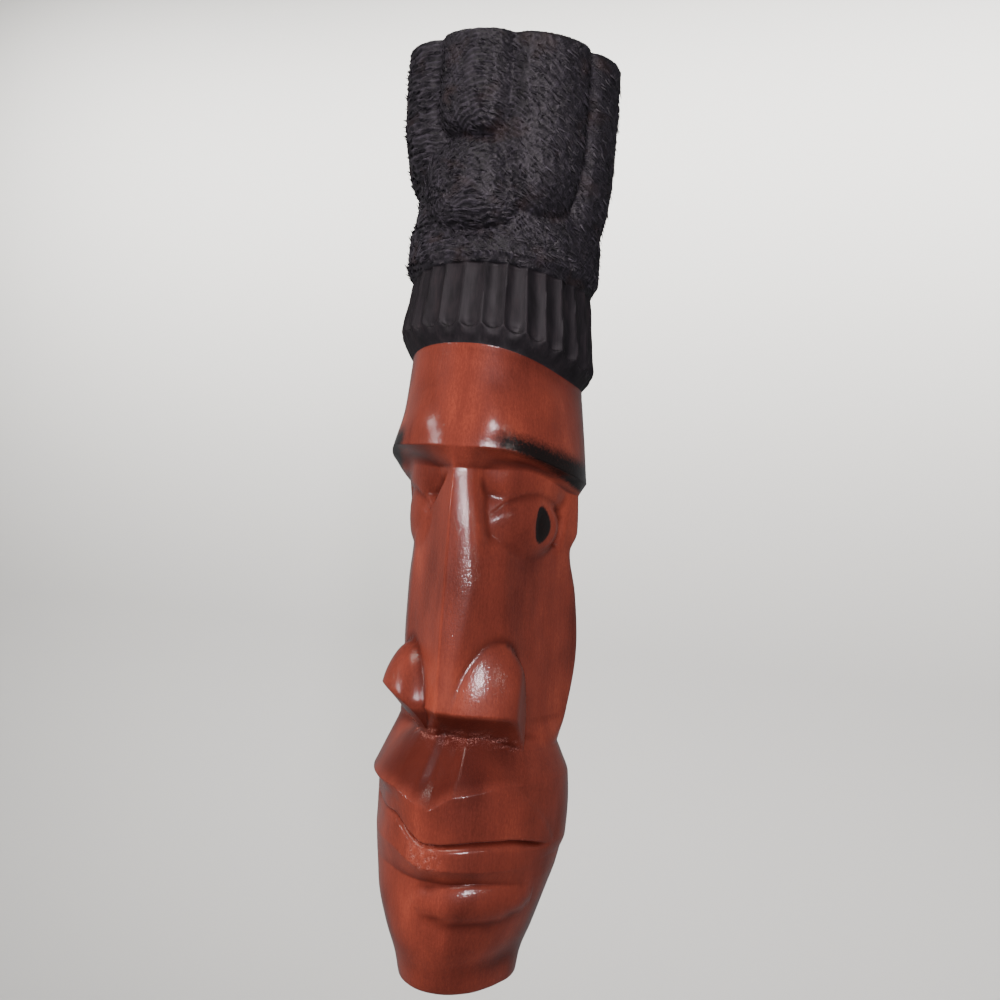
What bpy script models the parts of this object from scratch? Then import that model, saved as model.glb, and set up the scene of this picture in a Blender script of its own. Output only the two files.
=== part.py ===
"""A tall stylised face carved from one length of log, flat at the back to hang on a wall.

Metres, +Z up. The face looks along -Y. The origin is the middle of the flat back.
The surface is a reach from the log's axis, given for every turn round the axis and every
height. The free carving keeps its heights as hundredths of HEIGHT and its reaches as
hundredths of LOG_RADIUS.
"""
import math
from collections import namedtuple

import bmesh
import bpy
import numpy as np

MM = 0.001

# Driving dimensions
HEIGHT = 406.5 * MM
LOG_RADIUS = 49.0 * MM
BACK_DEPTH = 20.0 * MM
FLUTE_WIDTH = 9.85 * MM
FLUTE_DEPTH = 1.7 * MM
FLUTE_SCALLOP = 2.0 * MM
EDGE_ROUNDING = 1.5 * MM
TOP_ROUNDING = 2.6 * MM
PUPIL_DEPTH = 0.9 * MM

# Measures of the free carving, and a reach beyond anything in it
H = HEIGHT / 100
R = LOG_RADIUS / 100
FAR_AWAY = 1000 * R

# Heights of the carved lines in front, from the chin up
LIP_GROOVE = 12.3 * H
LIP_EDGE = 14.0 * H
MOUTH_LINE = 16.4 * H
LIP_TOP = 21.6 * H
NOSE_RECESS = 27.1 * H
NOSE_FOOT = 30.1 * H
EYE_FOOT = 46.9 * H
BROW_BEVEL_FOOT = 55.2 * H
BROW_LINE = 57.4 * H
FOREHEAD_TOP = 68.1 * H
BAND_FOOT = 70.3 * H
BAND_TOP = 76.5 * H
HAIR_FOOT = 77.6 * H

# Mesh fineness: columns between two flute edges, columns on each flank behind them, and how
# far apart the rows lie where the carving is busy, middling and plain
COLUMNS_PER_FLUTE = 4
FRONT_FLUTES = 6
FLANK_COLUMNS = 5
RIM_ROWS = 0.9 * MM
CLOSE_ROWS = 3.2 * MM
MIDDLE_ROWS = 5.0 * MM
WIDE_ROWS = 9.0 * MM

# The log's reach at each height: in front, on each side and at the back corners.
# A station is an edge in the columns that its crisp field names, and elsewhere the curve is
# smoothed through it.
SIDE_TURN = 67.0
CORNER_TURN = 115.0
CORNER_LIMIT = 0.96
BAND_REACH = 88 * R
Station = namedtuple("Station", "height front left right corner crisp")
ALL_ROUND = ("front", "left", "right", "corner")
NOT_BEHIND = ("front", "left", "right")
STATIONS = (
    Station(0, 64 * R, 51 * R, 53 * R, 57 * R, ALL_ROUND),
    Station(2.4 * H, 69 * R, 55.5 * R, 54 * R, 60 * R, ()),
    Station(5.6 * H, 77 * R, 66 * R, 65 * R, 69 * R, ()),
    Station(9.0 * H, 79 * R, 74 * R, 75 * R, 78 * R, ()),
    Station(LIP_GROOVE, 79 * R, 77 * R, 82 * R, 87 * R, NOT_BEHIND),
    Station(LIP_EDGE, 90 * R, 79 * R, 84 * R, 91 * R, NOT_BEHIND),
    Station(MOUTH_LINE, 90 * R, 77 * R, 86 * R, 95 * R, NOT_BEHIND),
    Station(18.9 * H, 92.5 * R, 77 * R, 87 * R, 96 * R, ()),
    Station(LIP_TOP, 94 * R, 85.5 * R, 84 * R, 94 * R, ("front", "left")),
    Station(24.5 * H, 80 * R, 70.5 * R, 78 * R, 88 * R, ()),
    Station(NOSE_RECESS, 66 * R, 51.5 * R, 71 * R, 82 * R, ALL_ROUND),
    Station(NOSE_FOOT, 93 * R, 62 * R, 66 * R, 88 * R, ("front",)),
    Station(36.5 * H, 93 * R, 64.5 * R, 66 * R, 95 * R, ()),
    Station(42.5 * H, 91.5 * R, 64 * R, 65 * R, 90 * R, ()),
    Station(EYE_FOOT, 90.5 * R, 62 * R, 63 * R, 82 * R, ()),
    Station(49.8 * H, 90 * R, 64 * R, 65 * R, 88 * R, ()),
    Station(BROW_BEVEL_FOOT, 86 * R, 69 * R, 70 * R, 86 * R, ALL_ROUND),
    Station(BROW_LINE, 92.5 * R, 88 * R, 89 * R, 93 * R, ALL_ROUND),
    Station(62.0 * H, 88 * R, 79 * R, 84 * R, 89 * R, ()),
    Station(FOREHEAD_TOP, 81 * R, 74 * R, 76 * R, 83 * R, ALL_ROUND),
    Station(BAND_FOOT, BAND_REACH, 87 * R, 88 * R, 94 * R, ALL_ROUND),
    Station(BAND_TOP, 81 * R, 79 * R, 80 * R, 86 * R, ALL_ROUND),
    Station(HAIR_FOOT, 86 * R, 86 * R, 86 * R, 93 * R, ALL_ROUND),
    Station(80.0 * H, 77 * R, 85 * R, 84 * R, 93 * R, ()),
    Station(84.0 * H, 80 * R, 79 * R, 81 * R, 89 * R, ()),
    Station(100 * H, 80 * R, 82 * R, 83 * R, 86 * R, ALL_ROUND),
)

# Planes that leave the nose and cheeks between them: where each faces, and its reach as a
# share of the nose ridge's at each of the nose's levels, from the root down. A plane without
# shares lies at the log's reach on its side. The ridge is crisp, and rounded off on one side.
NOSE_LEVELS = (56.0 * H, 43.0 * H, 34.0 * H)
Facet = namedtuple("Facet", "facing shares")
LEFT_FACETS = (Facet(-67, ()), Facet(-45, (0.71, 0.71, 0.71)))
RIGHT_FACETS = (
    Facet(14, (0.97, 0.97, 0.97)),
    Facet(29, (0.895, 0.935, 0.9)),
    Facet(47, (0.755, 0.83, 0.76)),
    Facet(67, ()),
)
FACET_BLEND = 3.0 * R
RIDGE_BLEND = 0.3 * R
FLANK_CLEARANCE = 60 * R
FLANK_TURN = 30.0

# How far each carved line sinks (-) or climbs (+) as it goes round, and between which
# turns it does so, first on the side at -X and then on the side at +X.
Bend = namedtuple("Bend", "height left left_turns right right_turns")
BENDS = (
    Bend(0, 0, (0, 60), 0, (0, 60)),
    Bend(LIP_GROOVE, 0.5 * H, (5, 40), 0.2 * H, (10, 30)),
    Bend(LIP_EDGE, 1.5 * H, (1, 30), 0.5 * H, (55, 85)),
    Bend(MOUTH_LINE, 2.4 * H, (1, 27), 0.5 * H, (2, 30)),
    Bend(LIP_TOP, 0.3 * H, (0, 50), 1.0 * H, (8, 44)),
    Bend(NOSE_RECESS, 0.2 * H, (18, 60), -1.2 * H, (30, 65)),
    Bend(NOSE_FOOT, 0.6 * H, (18, 60), -1.0 * H, (38, 68)),
    Bend(EYE_FOOT, 0, (0, 60), 0, (0, 60)),
    Bend(BROW_BEVEL_FOOT, -1.6 * H, (50, 110), -2.1 * H, (44, 110)),
    Bend(BROW_LINE, -2.0 * H, (48, 110), -2.9 * H, (16, 108)),
    Bend(FOREHEAD_TOP, -1.4 * H, (5, 110), -3.4 * H, (2, 108)),
    Bend(BAND_FOOT, -1.2 * H, (55, 110), -3.5 * H, (8, 108)),
    Bend(BAND_TOP, -1.2 * H, (0, 105), -1.4 * H, (10, 105)),
    Bend(80.0 * H, 0, (0, 60), 0, (0, 60)),
    Bend(100 * H, 0, (0, 60), 0, (0, 60)),
)
PHILTRUM_NOTCH = 1.6 * H
PHILTRUM_NOTCH_LEFT = 24.0
PHILTRUM_NOTCH_RIGHT = 12.0
MOUTH_CORNER_DROP = 1.1 * H
MOUTH_CORNER_TURNS = (45, 84)

# Rounded lumps left standing: the turn and height of the middle, the outermost reach, and
# the half depth, half width and half height. A square lump keeps its fullness to its ends.
Lump = namedtuple("Lump", "turn height reach half_depth half_width half_height square")
HAIR_LUMPS = (
    Lump(-92, 100 * H, 99.5 * R, 40 * R, 42 * R, 16.5 * H, 5.0),
    Lump(-49, 100 * H, 99.5 * R, 40 * R, 42 * R, 15.5 * H, 5.0),
    Lump(-4, 100 * H, 100 * R, 38 * R, 47 * R, 10.9 * H, 9.0),
    Lump(44, 100 * H, 100 * R, 38 * R, 48 * R, 19.0 * H, 6.0),
    Lump(93, 100 * H, 101 * R, 40 * R, 46 * R, 22.3 * H, 5.0),
    Lump(-6, 84.9 * H, 97 * R, 40 * R, 50 * R, 5.6 * H, 2.6),
)
NOSE_WINGS = (
    Lump(-35, 30.6 * H, 93.5 * R, 27 * R, 32 * R, 5.8 * H, 1.2),
    Lump(30, 28.6 * H, 89.8 * R, 18 * R, 44.6 * R, 9.0 * H, 1.8),
)
EYES = (
    Lump(-57, 50.2 * H, 69 * R, 19 * R, 38 * R, 4.2 * H, 2.0),
    Lump(57, 50.2 * H, 72 * R, 20 * R, 43 * R, 4.4 * H, 2.0),
    Lump(-57, 55.0 * H, 69 * R, 19 * R, 40 * R, 3.6 * H, 2.6),
    Lump(57, 55.0 * H, 72 * R, 21 * R, 46 * R, 3.6 * H, 2.6),
)
LUMP_BLEND = 1.2 * R
EYE_BLEND = 6.5 * R
LUMP_END = 0.999

# Incised and hollowed details
Crease = namedtuple("Crease", "turn foot depth")
HAIR_CREASES = (
    Crease(-71, 84.0 * H, 3.5 * R),
    Crease(-26, 87.0 * H, 3.5 * R),
    Crease(18, 80.5 * H, 3.5 * R),
    Crease(68, 80.0 * H, 3.5 * R),
)
CREASE_HALF_TURN = 6.5
CREASE_RUN_OUT = 5.0 * H
UNDERSIDE_SLOPE = 1.0
WING_CUT_FACING = 92.0
WING_CUT_DISTANCE = 62 * R
WING_CUT_BLEND = 5.0 * R
SOCKET_DEPTH = 6.5 * R
SOCKET_FOOT = (46.0 * H, 49.0 * H)
SOCKET_TOP = (53.2 * H, 55.4 * H)
SOCKET_EDGE_LEFT = ((46.9 * H, 50.2 * H, 54.7 * H), (50, 25, 3))
SOCKET_EDGE_RIGHT = ((47.9 * H, 55.8 * H), (17, 9))
SOCKET_EDGE_WIDTH = 8.0
TEMPLE_TURNS = (90, 98)
PUPIL_TURN = 70.0
PUPIL_HALF_TURN = 13.0
PUPIL_HEIGHT = 49.9 * H
PUPIL_HALF_HEIGHT = 2.5 * H
PUPIL_STEEPNESS = 1.5
FOLD_TURN = 95.0
FOLD_HALF_TURN = 4.0
FOLD_DEPTH = 4.5 * R
FOLD_FOOT = (46.9 * H, 48.0 * H)
FOLD_TOP = (51.0 * H, 53.0 * H)
PHILTRUM_DEPTH = 4.0 * R
PHILTRUM_HALF_TURN = 13.0
PHILTRUM_CORE = 5.0
PHILTRUM_TOP_TURN = 6.0
PHILTRUM_FOOT = (21.4 * H, 24.0 * H)
SCOOP_TURN = 38.0
SCOOP_HALF_TURN = 22.0
SCOOP_DEPTH = 3.5 * R
SCOOP_FOOT = (21.4 * H, 25.0 * H)
BROW_SWELL = 3.2 * R
BROW_SWELL_TURN = 22.0
BROW_SWELL_WIDTH = 13.0
BROW_SWELL_FOOT = (57.4 * H, 60.0 * H)
BROW_SWELL_TOP = (60.5 * H, 64.5 * H)
MOUTH_DEPTH = 7.0 * R
MOUTH_STEP = 0.25 * H
LIP_ROLL = 0.65 * H
MOUTH_ENDS = (66, 83)
CHIN_BOSS_DEPTH = 6.0 * R
CHIN_BOSS_TURN = 31.0
CHIN_BOSS_HALF_TURN = 44.0
CHIN_BOSS_HEIGHT = 3.9 * H
CHIN_BOSS_CREST = 0.55
CHIN_BOSS_FULLNESS = 0.6
FLUTE_OFFSET = 0.25

# Rows of the mesh: each stretch runs up to a height, with its rows about so far apart
ROWS = (
    (EDGE_ROUNDING, RIM_ROWS),
    (LIP_GROOVE - CHIN_BOSS_HEIGHT, WIDE_ROWS),
    (LIP_GROOVE, CLOSE_ROWS),
    (LIP_EDGE, MIDDLE_ROWS),
    (MOUTH_LINE - LIP_ROLL, CLOSE_ROWS),
    (MOUTH_LINE, CLOSE_ROWS),
    (MOUTH_LINE + MOUTH_STEP, CLOSE_ROWS),
    (LIP_TOP, MIDDLE_ROWS),
    (NOSE_RECESS, MIDDLE_ROWS),
    (NOSE_FOOT, CLOSE_ROWS),
    (39.5 * H, MIDDLE_ROWS),
    (46.0 * H, WIDE_ROWS),
    (BROW_BEVEL_FOOT, MIDDLE_ROWS),
    (BROW_LINE, MIDDLE_ROWS),
    (BROW_SWELL_TOP[0], CLOSE_ROWS),
    (FOREHEAD_TOP, WIDE_ROWS),
    (BAND_FOOT, MIDDLE_ROWS),
    (BAND_TOP, WIDE_ROWS),
    (HAIR_FOOT, MIDDLE_ROWS),
    (90.5 * H, MIDDLE_ROWS),
    (HEIGHT - TOP_ROUNDING, WIDE_ROWS),
    (HEIGHT, RIM_ROWS),
)

VARNISHED_WOOD = ((0.23, 0.035, 0.015), 0.22)


def ramp(value, start, end):
    """Climb smoothly from 0 at the start to 1 at the end."""
    share = np.clip((value - start) / (end - start), 0, 1)
    return share * share * (3 - 2 * share)


def soft_min(a, b, blend):
    """The smaller of two reaches, rounded where they cross."""
    share = np.clip(0.5 + 0.5 * (b - a) / blend, 0, 1)
    return b + (a - b) * share - blend * share * (1 - share)


def soft_max(a, b, blend):
    """The larger of two reaches, rounded where they cross."""
    return -soft_min(-a, -b, blend)


def through_stations(height, column):
    """A curve over height through one column of the stations, sharp at its crisp ones."""
    knots = [station.height for station in STATIONS]
    values = [getattr(station, column) for station in STATIONS]
    slopes = [(values[i + 1] - values[i]) / (knots[i + 1] - knots[i])
              for i in range(len(knots) - 1)]
    result = np.full_like(height, values[-1])
    for i, slope in enumerate(slopes):
        start_slope = end_slope = slope
        if column not in STATIONS[i].crisp:
            before = slopes[i - 1]
            start_slope = 0 if before * slope <= 0 else 2 * before * slope / (before + slope)
        if column not in STATIONS[i + 1].crisp:
            after = slopes[i + 1]
            end_slope = 0 if after * slope <= 0 else 2 * after * slope / (after + slope)
        length = knots[i + 1] - knots[i]
        t = (height - knots[i]) / length
        curve = (values[i] * (1 + 2 * t) * (1 - t) ** 2
                 + values[i + 1] * t * t * (3 - 2 * t)
                 + length * (start_slope * t * (1 - t) ** 2 - end_slope * t * t * (1 - t)))
        result = np.where((t >= 0) & (t < 1), curve, result)
    return result


def round_section(turn, front, left, right, corner):
    """A smooth section through its reach in front, on each side and at the back corners."""
    side = np.where(turn < 0, left, right)
    away = np.abs(turn)
    rear = CORNER_TURN - SIDE_TURN
    side_slope = ((side - front) / SIDE_TURN * rear
                  + (corner - side) / rear * SIDE_TURN) / CORNER_TURN
    t = np.clip(away / SIDE_TURN, 0, 1)
    fore = (front * (1 + 2 * t) * (1 - t) ** 2 + side * t * t * (3 - 2 * t)
            - SIDE_TURN * side_slope * t * t * (1 - t))
    t = np.clip((away - SIDE_TURN) / rear, 0, 1)
    aft = (side * (1 + 2 * t) * (1 - t) ** 2 + corner * t * t * (3 - 2 * t)
           + rear * side_slope * t * (1 - t) ** 2)
    return np.where(away < SIDE_TURN, fore, aft)


def nose_section(turn, height, front, left, right, corner):
    """A wedge between flat facets, its flanks running on into the cheeks."""
    flanks = []
    behind = corner + FLANK_CLEARANCE * (1 - ramp(np.abs(turn), FLANK_TURN, SIDE_TURN))
    for facets, side in ((LEFT_FACETS, left), (RIGHT_FACETS, right)):
        reach = behind
        for facet in facets:
            distance = side
            if facet.shares:
                levels = [-level for level in NOSE_LEVELS]
                distance = front * np.interp(-height, levels, facet.shares)
            reach = soft_min(reach, plane_reach(turn, facet.facing, distance), FACET_BLEND)
        flanks.append(reach)
    return soft_min(*flanks, RIDGE_BLEND)


def plane_reach(turn, facing, distance):
    """How far out a flat cut lies, by turn: far away where it is seen edge-on or from behind."""
    towards = np.cos(np.radians(turn - facing))
    return distance / np.maximum(towards, distance / FAR_AWAY)


def lump_reach(lump, turn, height):
    """How far a lump reaches out from the log's axis, 0 where it isn't."""
    share = np.clip(np.abs(height - lump.height) / lump.half_height, 0, LUMP_END)
    size = np.sqrt(1 - share ** lump.square)
    deep = lump.half_depth * size
    wide = lump.half_width * size
    centre = lump.reach - lump.half_depth
    aside = np.radians(turn - lump.turn)
    a = (np.cos(aside) / deep) ** 2 + (np.sin(aside) / wide) ** 2
    b = np.cos(aside) * centre / deep ** 2
    c = (centre / deep) ** 2 - 1
    inside = b * b - a * c
    reach = (b + np.sqrt(np.clip(inside, 0, None))) / a
    return np.where((inside > 0) & (np.cos(aside) > 0) & (share < LUMP_END), reach, 0)


def flute(turn):
    """0 on the edge between two flutes of the headband, 1 in the middle of a flute."""
    pitch = math.degrees(FLUTE_WIDTH / BAND_REACH)
    share = turn / pitch + FLUTE_OFFSET
    return 1 - (2 * (share - np.floor(share)) - 1) ** 2


def bend(turn, height):
    """How far the carved line at this height in front has moved when it gets to a turn."""
    shifts = []
    for line in BENDS:
        shift = (line.left * ramp(-turn, *line.left_turns)
                 + line.right * ramp(turn, *line.right_turns))
        if line.height == MOUTH_LINE:
            shift = shift - MOUTH_CORNER_DROP * ramp(turn, *MOUTH_CORNER_TURNS)
        if line.height == LIP_TOP:
            reach_of_notch = np.where(turn < 0, PHILTRUM_NOTCH_LEFT, PHILTRUM_NOTCH_RIGHT)
            shift = shift - PHILTRUM_NOTCH * np.clip(1 - np.abs(turn) / reach_of_notch, 0, 1)
        if line.height == BAND_FOOT:
            shift = shift - FLUTE_SCALLOP * flute(turn)
        shifts.append(shift)
    result = np.zeros_like(turn)
    for low, high, low_shift, high_shift in zip(BENDS, BENDS[1:], shifts, shifts[1:]):
        share = (height - low.height) / (high.height - low.height)
        blend = low_shift + (high_shift - low_shift) * share
        result = np.where((share >= 0) & (share <= 1), blend, result)
    return result


def carve_nose_wings(turn, height, reach):
    """Add the two wings, cut off flush with the slope under the nose."""
    below = STATIONS[[station.height for station in STATIONS].index(NOSE_RECESS)]
    recess = round_section(turn, below.front, below.left, below.right, below.corner)
    underside = recess + UNDERSIDE_SLOPE * (height - NOSE_RECESS)
    outside = plane_reach(np.abs(turn), WING_CUT_FACING, WING_CUT_DISTANCE)
    for wing in NOSE_WINGS:
        lobe = np.where(height > NOSE_RECESS, lump_reach(wing, turn, height), 0)
        lobe = soft_min(lobe, outside, WING_CUT_BLEND)
        reach = soft_max(reach, np.minimum(lobe, underside), LUMP_BLEND)
    return reach


def carve_eyes(turn, height, reach):
    """Hollow the sockets, add eyeballs and lids, and cut the pupils and temple folds."""
    away = np.abs(turn)
    edge = np.where(turn < 0, np.interp(height, *SOCKET_EDGE_LEFT),
                    np.interp(height, *SOCKET_EDGE_RIGHT))
    beside = ramp(away - edge, 0, SOCKET_EDGE_WIDTH) * (1 - ramp(away, *TEMPLE_TURNS))
    level = ramp(height, *SOCKET_FOOT) * (1 - ramp(height, *SOCKET_TOP))
    reach = reach - SOCKET_DEPTH * beside * level
    for lump in EYES:
        reach = soft_max(reach, lump_reach(lump, turn, height), EYE_BLEND)
    pupil = 1 - (((away - PUPIL_TURN) / PUPIL_HALF_TURN) ** 2
                 + ((height - PUPIL_HEIGHT) / PUPIL_HALF_HEIGHT) ** 2)
    reach = reach - PUPIL_DEPTH * np.clip(PUPIL_STEEPNESS * pupil, 0, 1)
    fold = np.clip(1 - np.abs(away - FOLD_TURN) / FOLD_HALF_TURN, 0, 1)
    return reach - FOLD_DEPTH * fold * ramp(height, *FOLD_FOOT) * (1 - ramp(height, *FOLD_TOP))


def carve_mouth(turn, height, reach):
    """Hollow the muzzle under the nose, cut the mouth, and add the boss of the chin."""
    climb = np.clip((height - LIP_TOP) / (NOSE_RECESS - LIP_TOP), 0, 1)
    from_groove = np.abs(turn - PHILTRUM_TOP_TURN * climb)
    groove = 1 - ramp(from_groove, PHILTRUM_CORE, PHILTRUM_HALF_TURN)
    scoop = np.clip(1 - ((turn - SCOOP_TURN) / SCOOP_HALF_TURN) ** 2, 0, 1)
    below_nose = 1 - ramp(height, NOSE_RECESS, NOSE_FOOT)
    hollow = (PHILTRUM_DEPTH * groove * ramp(height, *PHILTRUM_FOOT)
              + SCOOP_DEPTH * scoop * ramp(height, *SCOOP_FOOT))
    reach = reach - hollow * below_nose

    over = np.clip(1 - (height - MOUTH_LINE) / MOUTH_STEP, 0, 1)
    under = np.clip(1 - (MOUTH_LINE - height) / LIP_ROLL, 0, 1)
    mouth = np.where(height > MOUTH_LINE, over, under ** 2)
    reach = reach - MOUTH_DEPTH * mouth * (1 - ramp(np.abs(turn), *MOUTH_ENDS))

    aside = (turn - CHIN_BOSS_TURN) / CHIN_BOSS_HALF_TURN
    down = (LIP_GROOVE - height) / CHIN_BOSS_HEIGHT - CHIN_BOSS_CREST
    down = np.where(down < 0, down / CHIN_BOSS_CREST, down / (1 - CHIN_BOSS_CREST))
    boss = np.clip(1 - aside ** 2 - down ** 2, 0, 1) ** CHIN_BOSS_FULLNESS
    return reach + CHIN_BOSS_DEPTH * boss


def carve_forehead(turn, height, reach):
    """Swell the forehead over the brow on both sides of the middle."""
    swell = np.exp(-((np.abs(turn) - BROW_SWELL_TURN) / BROW_SWELL_WIDTH) ** 2)
    forehead = ramp(height, *BROW_SWELL_FOOT) * (1 - ramp(height, *BROW_SWELL_TOP))
    return reach + BROW_SWELL * swell * forehead


def carve_hair(turn, height, reach):
    """Add the upright lobes of hair and the ball, and cut the flutes of the headband."""
    for lump in HAIR_LUMPS:
        lobe = np.where(height > HAIR_FOOT, lump_reach(lump, turn, height), 0)
        reach = soft_max(reach, lobe, LUMP_BLEND)
    for crease in HAIR_CREASES:
        cut = np.clip(1 - np.abs(turn - crease.turn) / CREASE_HALF_TURN, 0, 1)
        reach = reach - crease.depth * cut * ramp(height, crease.foot, crease.foot + CREASE_RUN_OUT)
    fluted = ((height >= BAND_FOOT - 0.01 * H) & (height <= BAND_TOP + 0.01 * H))
    return reach - np.where(fluted, FLUTE_DEPTH * flute(turn), 0)


def ends_rounded(height, reach):
    """Ease the rim of the top and of the chin's foot."""
    for distance, rounding in ((height, EDGE_ROUNDING), (HEIGHT - height, TOP_ROUNDING)):
        near = np.clip(1 - distance / rounding, 0, 1)
        reach = reach - rounding * (1 - np.sqrt(1 - near * near))
    return reach


def surface_reach(turn, height):
    """The reach of the finished carving, by turn in degrees and height in front."""
    reaches = [through_stations(height, column) for column in ALL_ROUND]
    plain = round_section(turn, *reaches)
    wedge = nose_section(turn, height, *reaches)
    under_brow = np.clip((BROW_LINE - height) / (BROW_LINE - BROW_BEVEL_FOOT), 0, 1)
    nosed = ramp(height, NOSE_RECESS, NOSE_FOOT) * under_brow
    reach = plain + (wedge - plain) * nosed
    for carve in (carve_nose_wings, carve_eyes, carve_mouth, carve_forehead, carve_hair):
        reach = carve(turn, height, reach)
    return ends_rounded(height, reach)


def row_heights():
    """Heights in front of the mesh's rows, from the chin's foot to the top."""
    heights = [0.0]
    for top, apart in ROWS:
        start = heights[-1]
        steps = max(1, round((top - start) / apart))
        heights += [start + (top - start) * (step + 1) / steps for step in range(steps)]
    return np.array(heights)


def column_turns(corner_turn):
    """Turns of the mesh's columns, from the one back corner round the front to the other."""
    pitch = math.degrees(FLUTE_WIDTH / BAND_REACH) / COLUMNS_PER_FLUTE
    front = [pitch * i for i in range(COLUMNS_PER_FLUTE * FRONT_FLUTES + 1)]
    gap = (corner_turn - front[-1]) / FLANK_COLUMNS
    half = front + [front[-1] + gap * (i + 1) for i in range(FLANK_COLUMNS)]
    return [-turn for turn in reversed(half[1:])] + half


def grid_points():
    """Rows of points on the carving, each from back corner to back corner."""
    rows = []
    for height in row_heights():
        level = np.array([height])
        corner_reach = surface_reach(np.array([CORNER_TURN]), level)[0]
        corner_share = min(BACK_DEPTH / corner_reach, CORNER_LIMIT)
        corner_turn = 90 + math.degrees(math.asin(corner_share))
        turns = np.array(column_turns(corner_turn))
        levels = np.full_like(turns, height)
        reach = surface_reach(turns, levels)
        reach[0] = reach[-1] = corner_reach
        heights = levels + bend(turns, levels)
        points = np.stack([reach * np.sin(np.radians(turns)),
                           -BACK_DEPTH - reach * np.cos(np.radians(turns)),
                           heights - HEIGHT / 2], axis=1)
        points[0, 1] = points[-1, 1] = 0.0
        rows.append(points)
    return rows


def build_face():
    """Make the carving as one closed mesh: its front, its flat back and its two ends."""
    mesh = bmesh.new()
    rows = [[mesh.verts.new(point) for point in row] for row in grid_points()]
    for low, high in zip(rows, rows[1:]):
        for i in range(len(low) - 1):
            mesh.faces.new((low[i], low[i + 1], high[i + 1], high[i]))
        mesh.faces.new((low[-1], low[0], high[0], high[-1]))
    mesh.faces.new(tuple(reversed(rows[0])))
    mesh.faces.new(tuple(rows[-1]))
    bmesh.ops.recalc_face_normals(mesh, faces=mesh.faces)
    data = bpy.data.meshes.new("carved_face")
    mesh.to_mesh(data)
    mesh.free()
    data.shade_smooth()
    data.set_sharp_from_angle(angle=math.radians(32))
    face = bpy.data.objects.new("carved_face", data)
    bpy.context.scene.collection.objects.link(face)
    return face


def wood_material(name, colour, roughness):
    """A plain varnished wood."""
    material = bpy.data.materials.new(name)
    material.use_nodes = True
    shader = material.node_tree.nodes["Principled BSDF"]
    shader.inputs["Base Color"].default_value = (*colour, 1)
    shader.inputs["Roughness"].default_value = roughness
    shader.inputs["Metallic"].default_value = 0
    material.diffuse_color = (*colour, 1)
    return material


for leftover in list(bpy.data.objects):
    bpy.data.objects.remove(leftover)
build_face().data.materials.append(wood_material("varnished_wood", *VARNISHED_WOOD))
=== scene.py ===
"""The looks of a tall wooden face carved from one length of log, flat at the back.

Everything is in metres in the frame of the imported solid: +Z up, the face looks along -Y, and
the flat back lies in the plane Y = 0. The carving is rebuilt here from the same rule as the
solid, finely enough to carry the tool marks, and then stained, scorched and varnished.
"""
import logging
import math
from dataclasses import dataclass
from enum import Enum
from typing import Any

import bpy
import numpy as np
from mathutils import Matrix, Vector


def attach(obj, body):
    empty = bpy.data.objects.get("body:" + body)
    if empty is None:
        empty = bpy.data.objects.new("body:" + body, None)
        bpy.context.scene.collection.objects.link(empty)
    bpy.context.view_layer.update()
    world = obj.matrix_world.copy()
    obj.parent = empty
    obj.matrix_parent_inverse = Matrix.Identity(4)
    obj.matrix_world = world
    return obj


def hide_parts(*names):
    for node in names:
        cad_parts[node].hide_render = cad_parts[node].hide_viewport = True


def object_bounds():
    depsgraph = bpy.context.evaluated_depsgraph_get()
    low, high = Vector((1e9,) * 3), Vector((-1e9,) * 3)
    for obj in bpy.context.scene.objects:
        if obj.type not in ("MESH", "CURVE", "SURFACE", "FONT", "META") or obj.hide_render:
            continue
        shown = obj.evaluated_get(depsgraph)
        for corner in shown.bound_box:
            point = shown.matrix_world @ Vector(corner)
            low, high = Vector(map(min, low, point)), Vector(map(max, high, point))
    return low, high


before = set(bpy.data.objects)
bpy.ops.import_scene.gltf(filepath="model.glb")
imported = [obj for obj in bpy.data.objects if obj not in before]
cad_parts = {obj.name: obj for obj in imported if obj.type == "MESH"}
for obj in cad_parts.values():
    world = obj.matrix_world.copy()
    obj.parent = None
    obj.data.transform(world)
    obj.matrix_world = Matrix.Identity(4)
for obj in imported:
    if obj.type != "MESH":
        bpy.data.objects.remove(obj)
CAD_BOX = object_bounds()

LOG = logging.getLogger("wooden_face")
MM = 0.001
Grid = np.ndarray
Size = tuple[float, float, float]

# The factors and the scale of the usual sine hash.
HASH_FACTORS = (12.9898, 78.233, 37.719)
HASH_SCALE = 43758.5453

# What the finishes read from the skin, point by point.
FINISH_NOTES = ("cavity", "ridge", "scorched", "torn")


class Line(float, Enum):
    """Heights of the carved lines in front, in hundredths of the carving's height."""

    CHIN_FOOT = 0.0
    LIP_GROOVE = 12.3
    LIP_EDGE = 14.0
    MOUTH = 16.4
    LIP_TOP = 21.6
    NOSE_RECESS = 27.1
    NOSE_FOOT = 30.1
    EYE_FOOT = 46.9
    BROW_BEVEL_FOOT = 55.2
    BROW = 57.4
    FOREHEAD_TOP = 68.1
    BAND_FOOT = 70.3
    BAND_TOP = 76.5
    HAIR_FOOT = 77.6
    TOP = 100.0


class Zone(Enum):
    """The parts of the surface that are finished in their own way, by material index."""

    FACE = 0
    BAND = 1
    HAIR = 2
    BACK = 3


# The next five classes hold heights, reaches and turns in the units of CarvedForm.
@dataclass(frozen=True)
class Station:
    """The log's reach at one height: in front, on each side and at the back corners."""

    height: float
    front: float
    left: float
    right: float
    corner: float
    crisp: tuple[str, ...] = ()


ALL_ROUND = ("front", "left", "right", "corner")
NOT_BEHIND = ("front", "left", "right")


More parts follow.
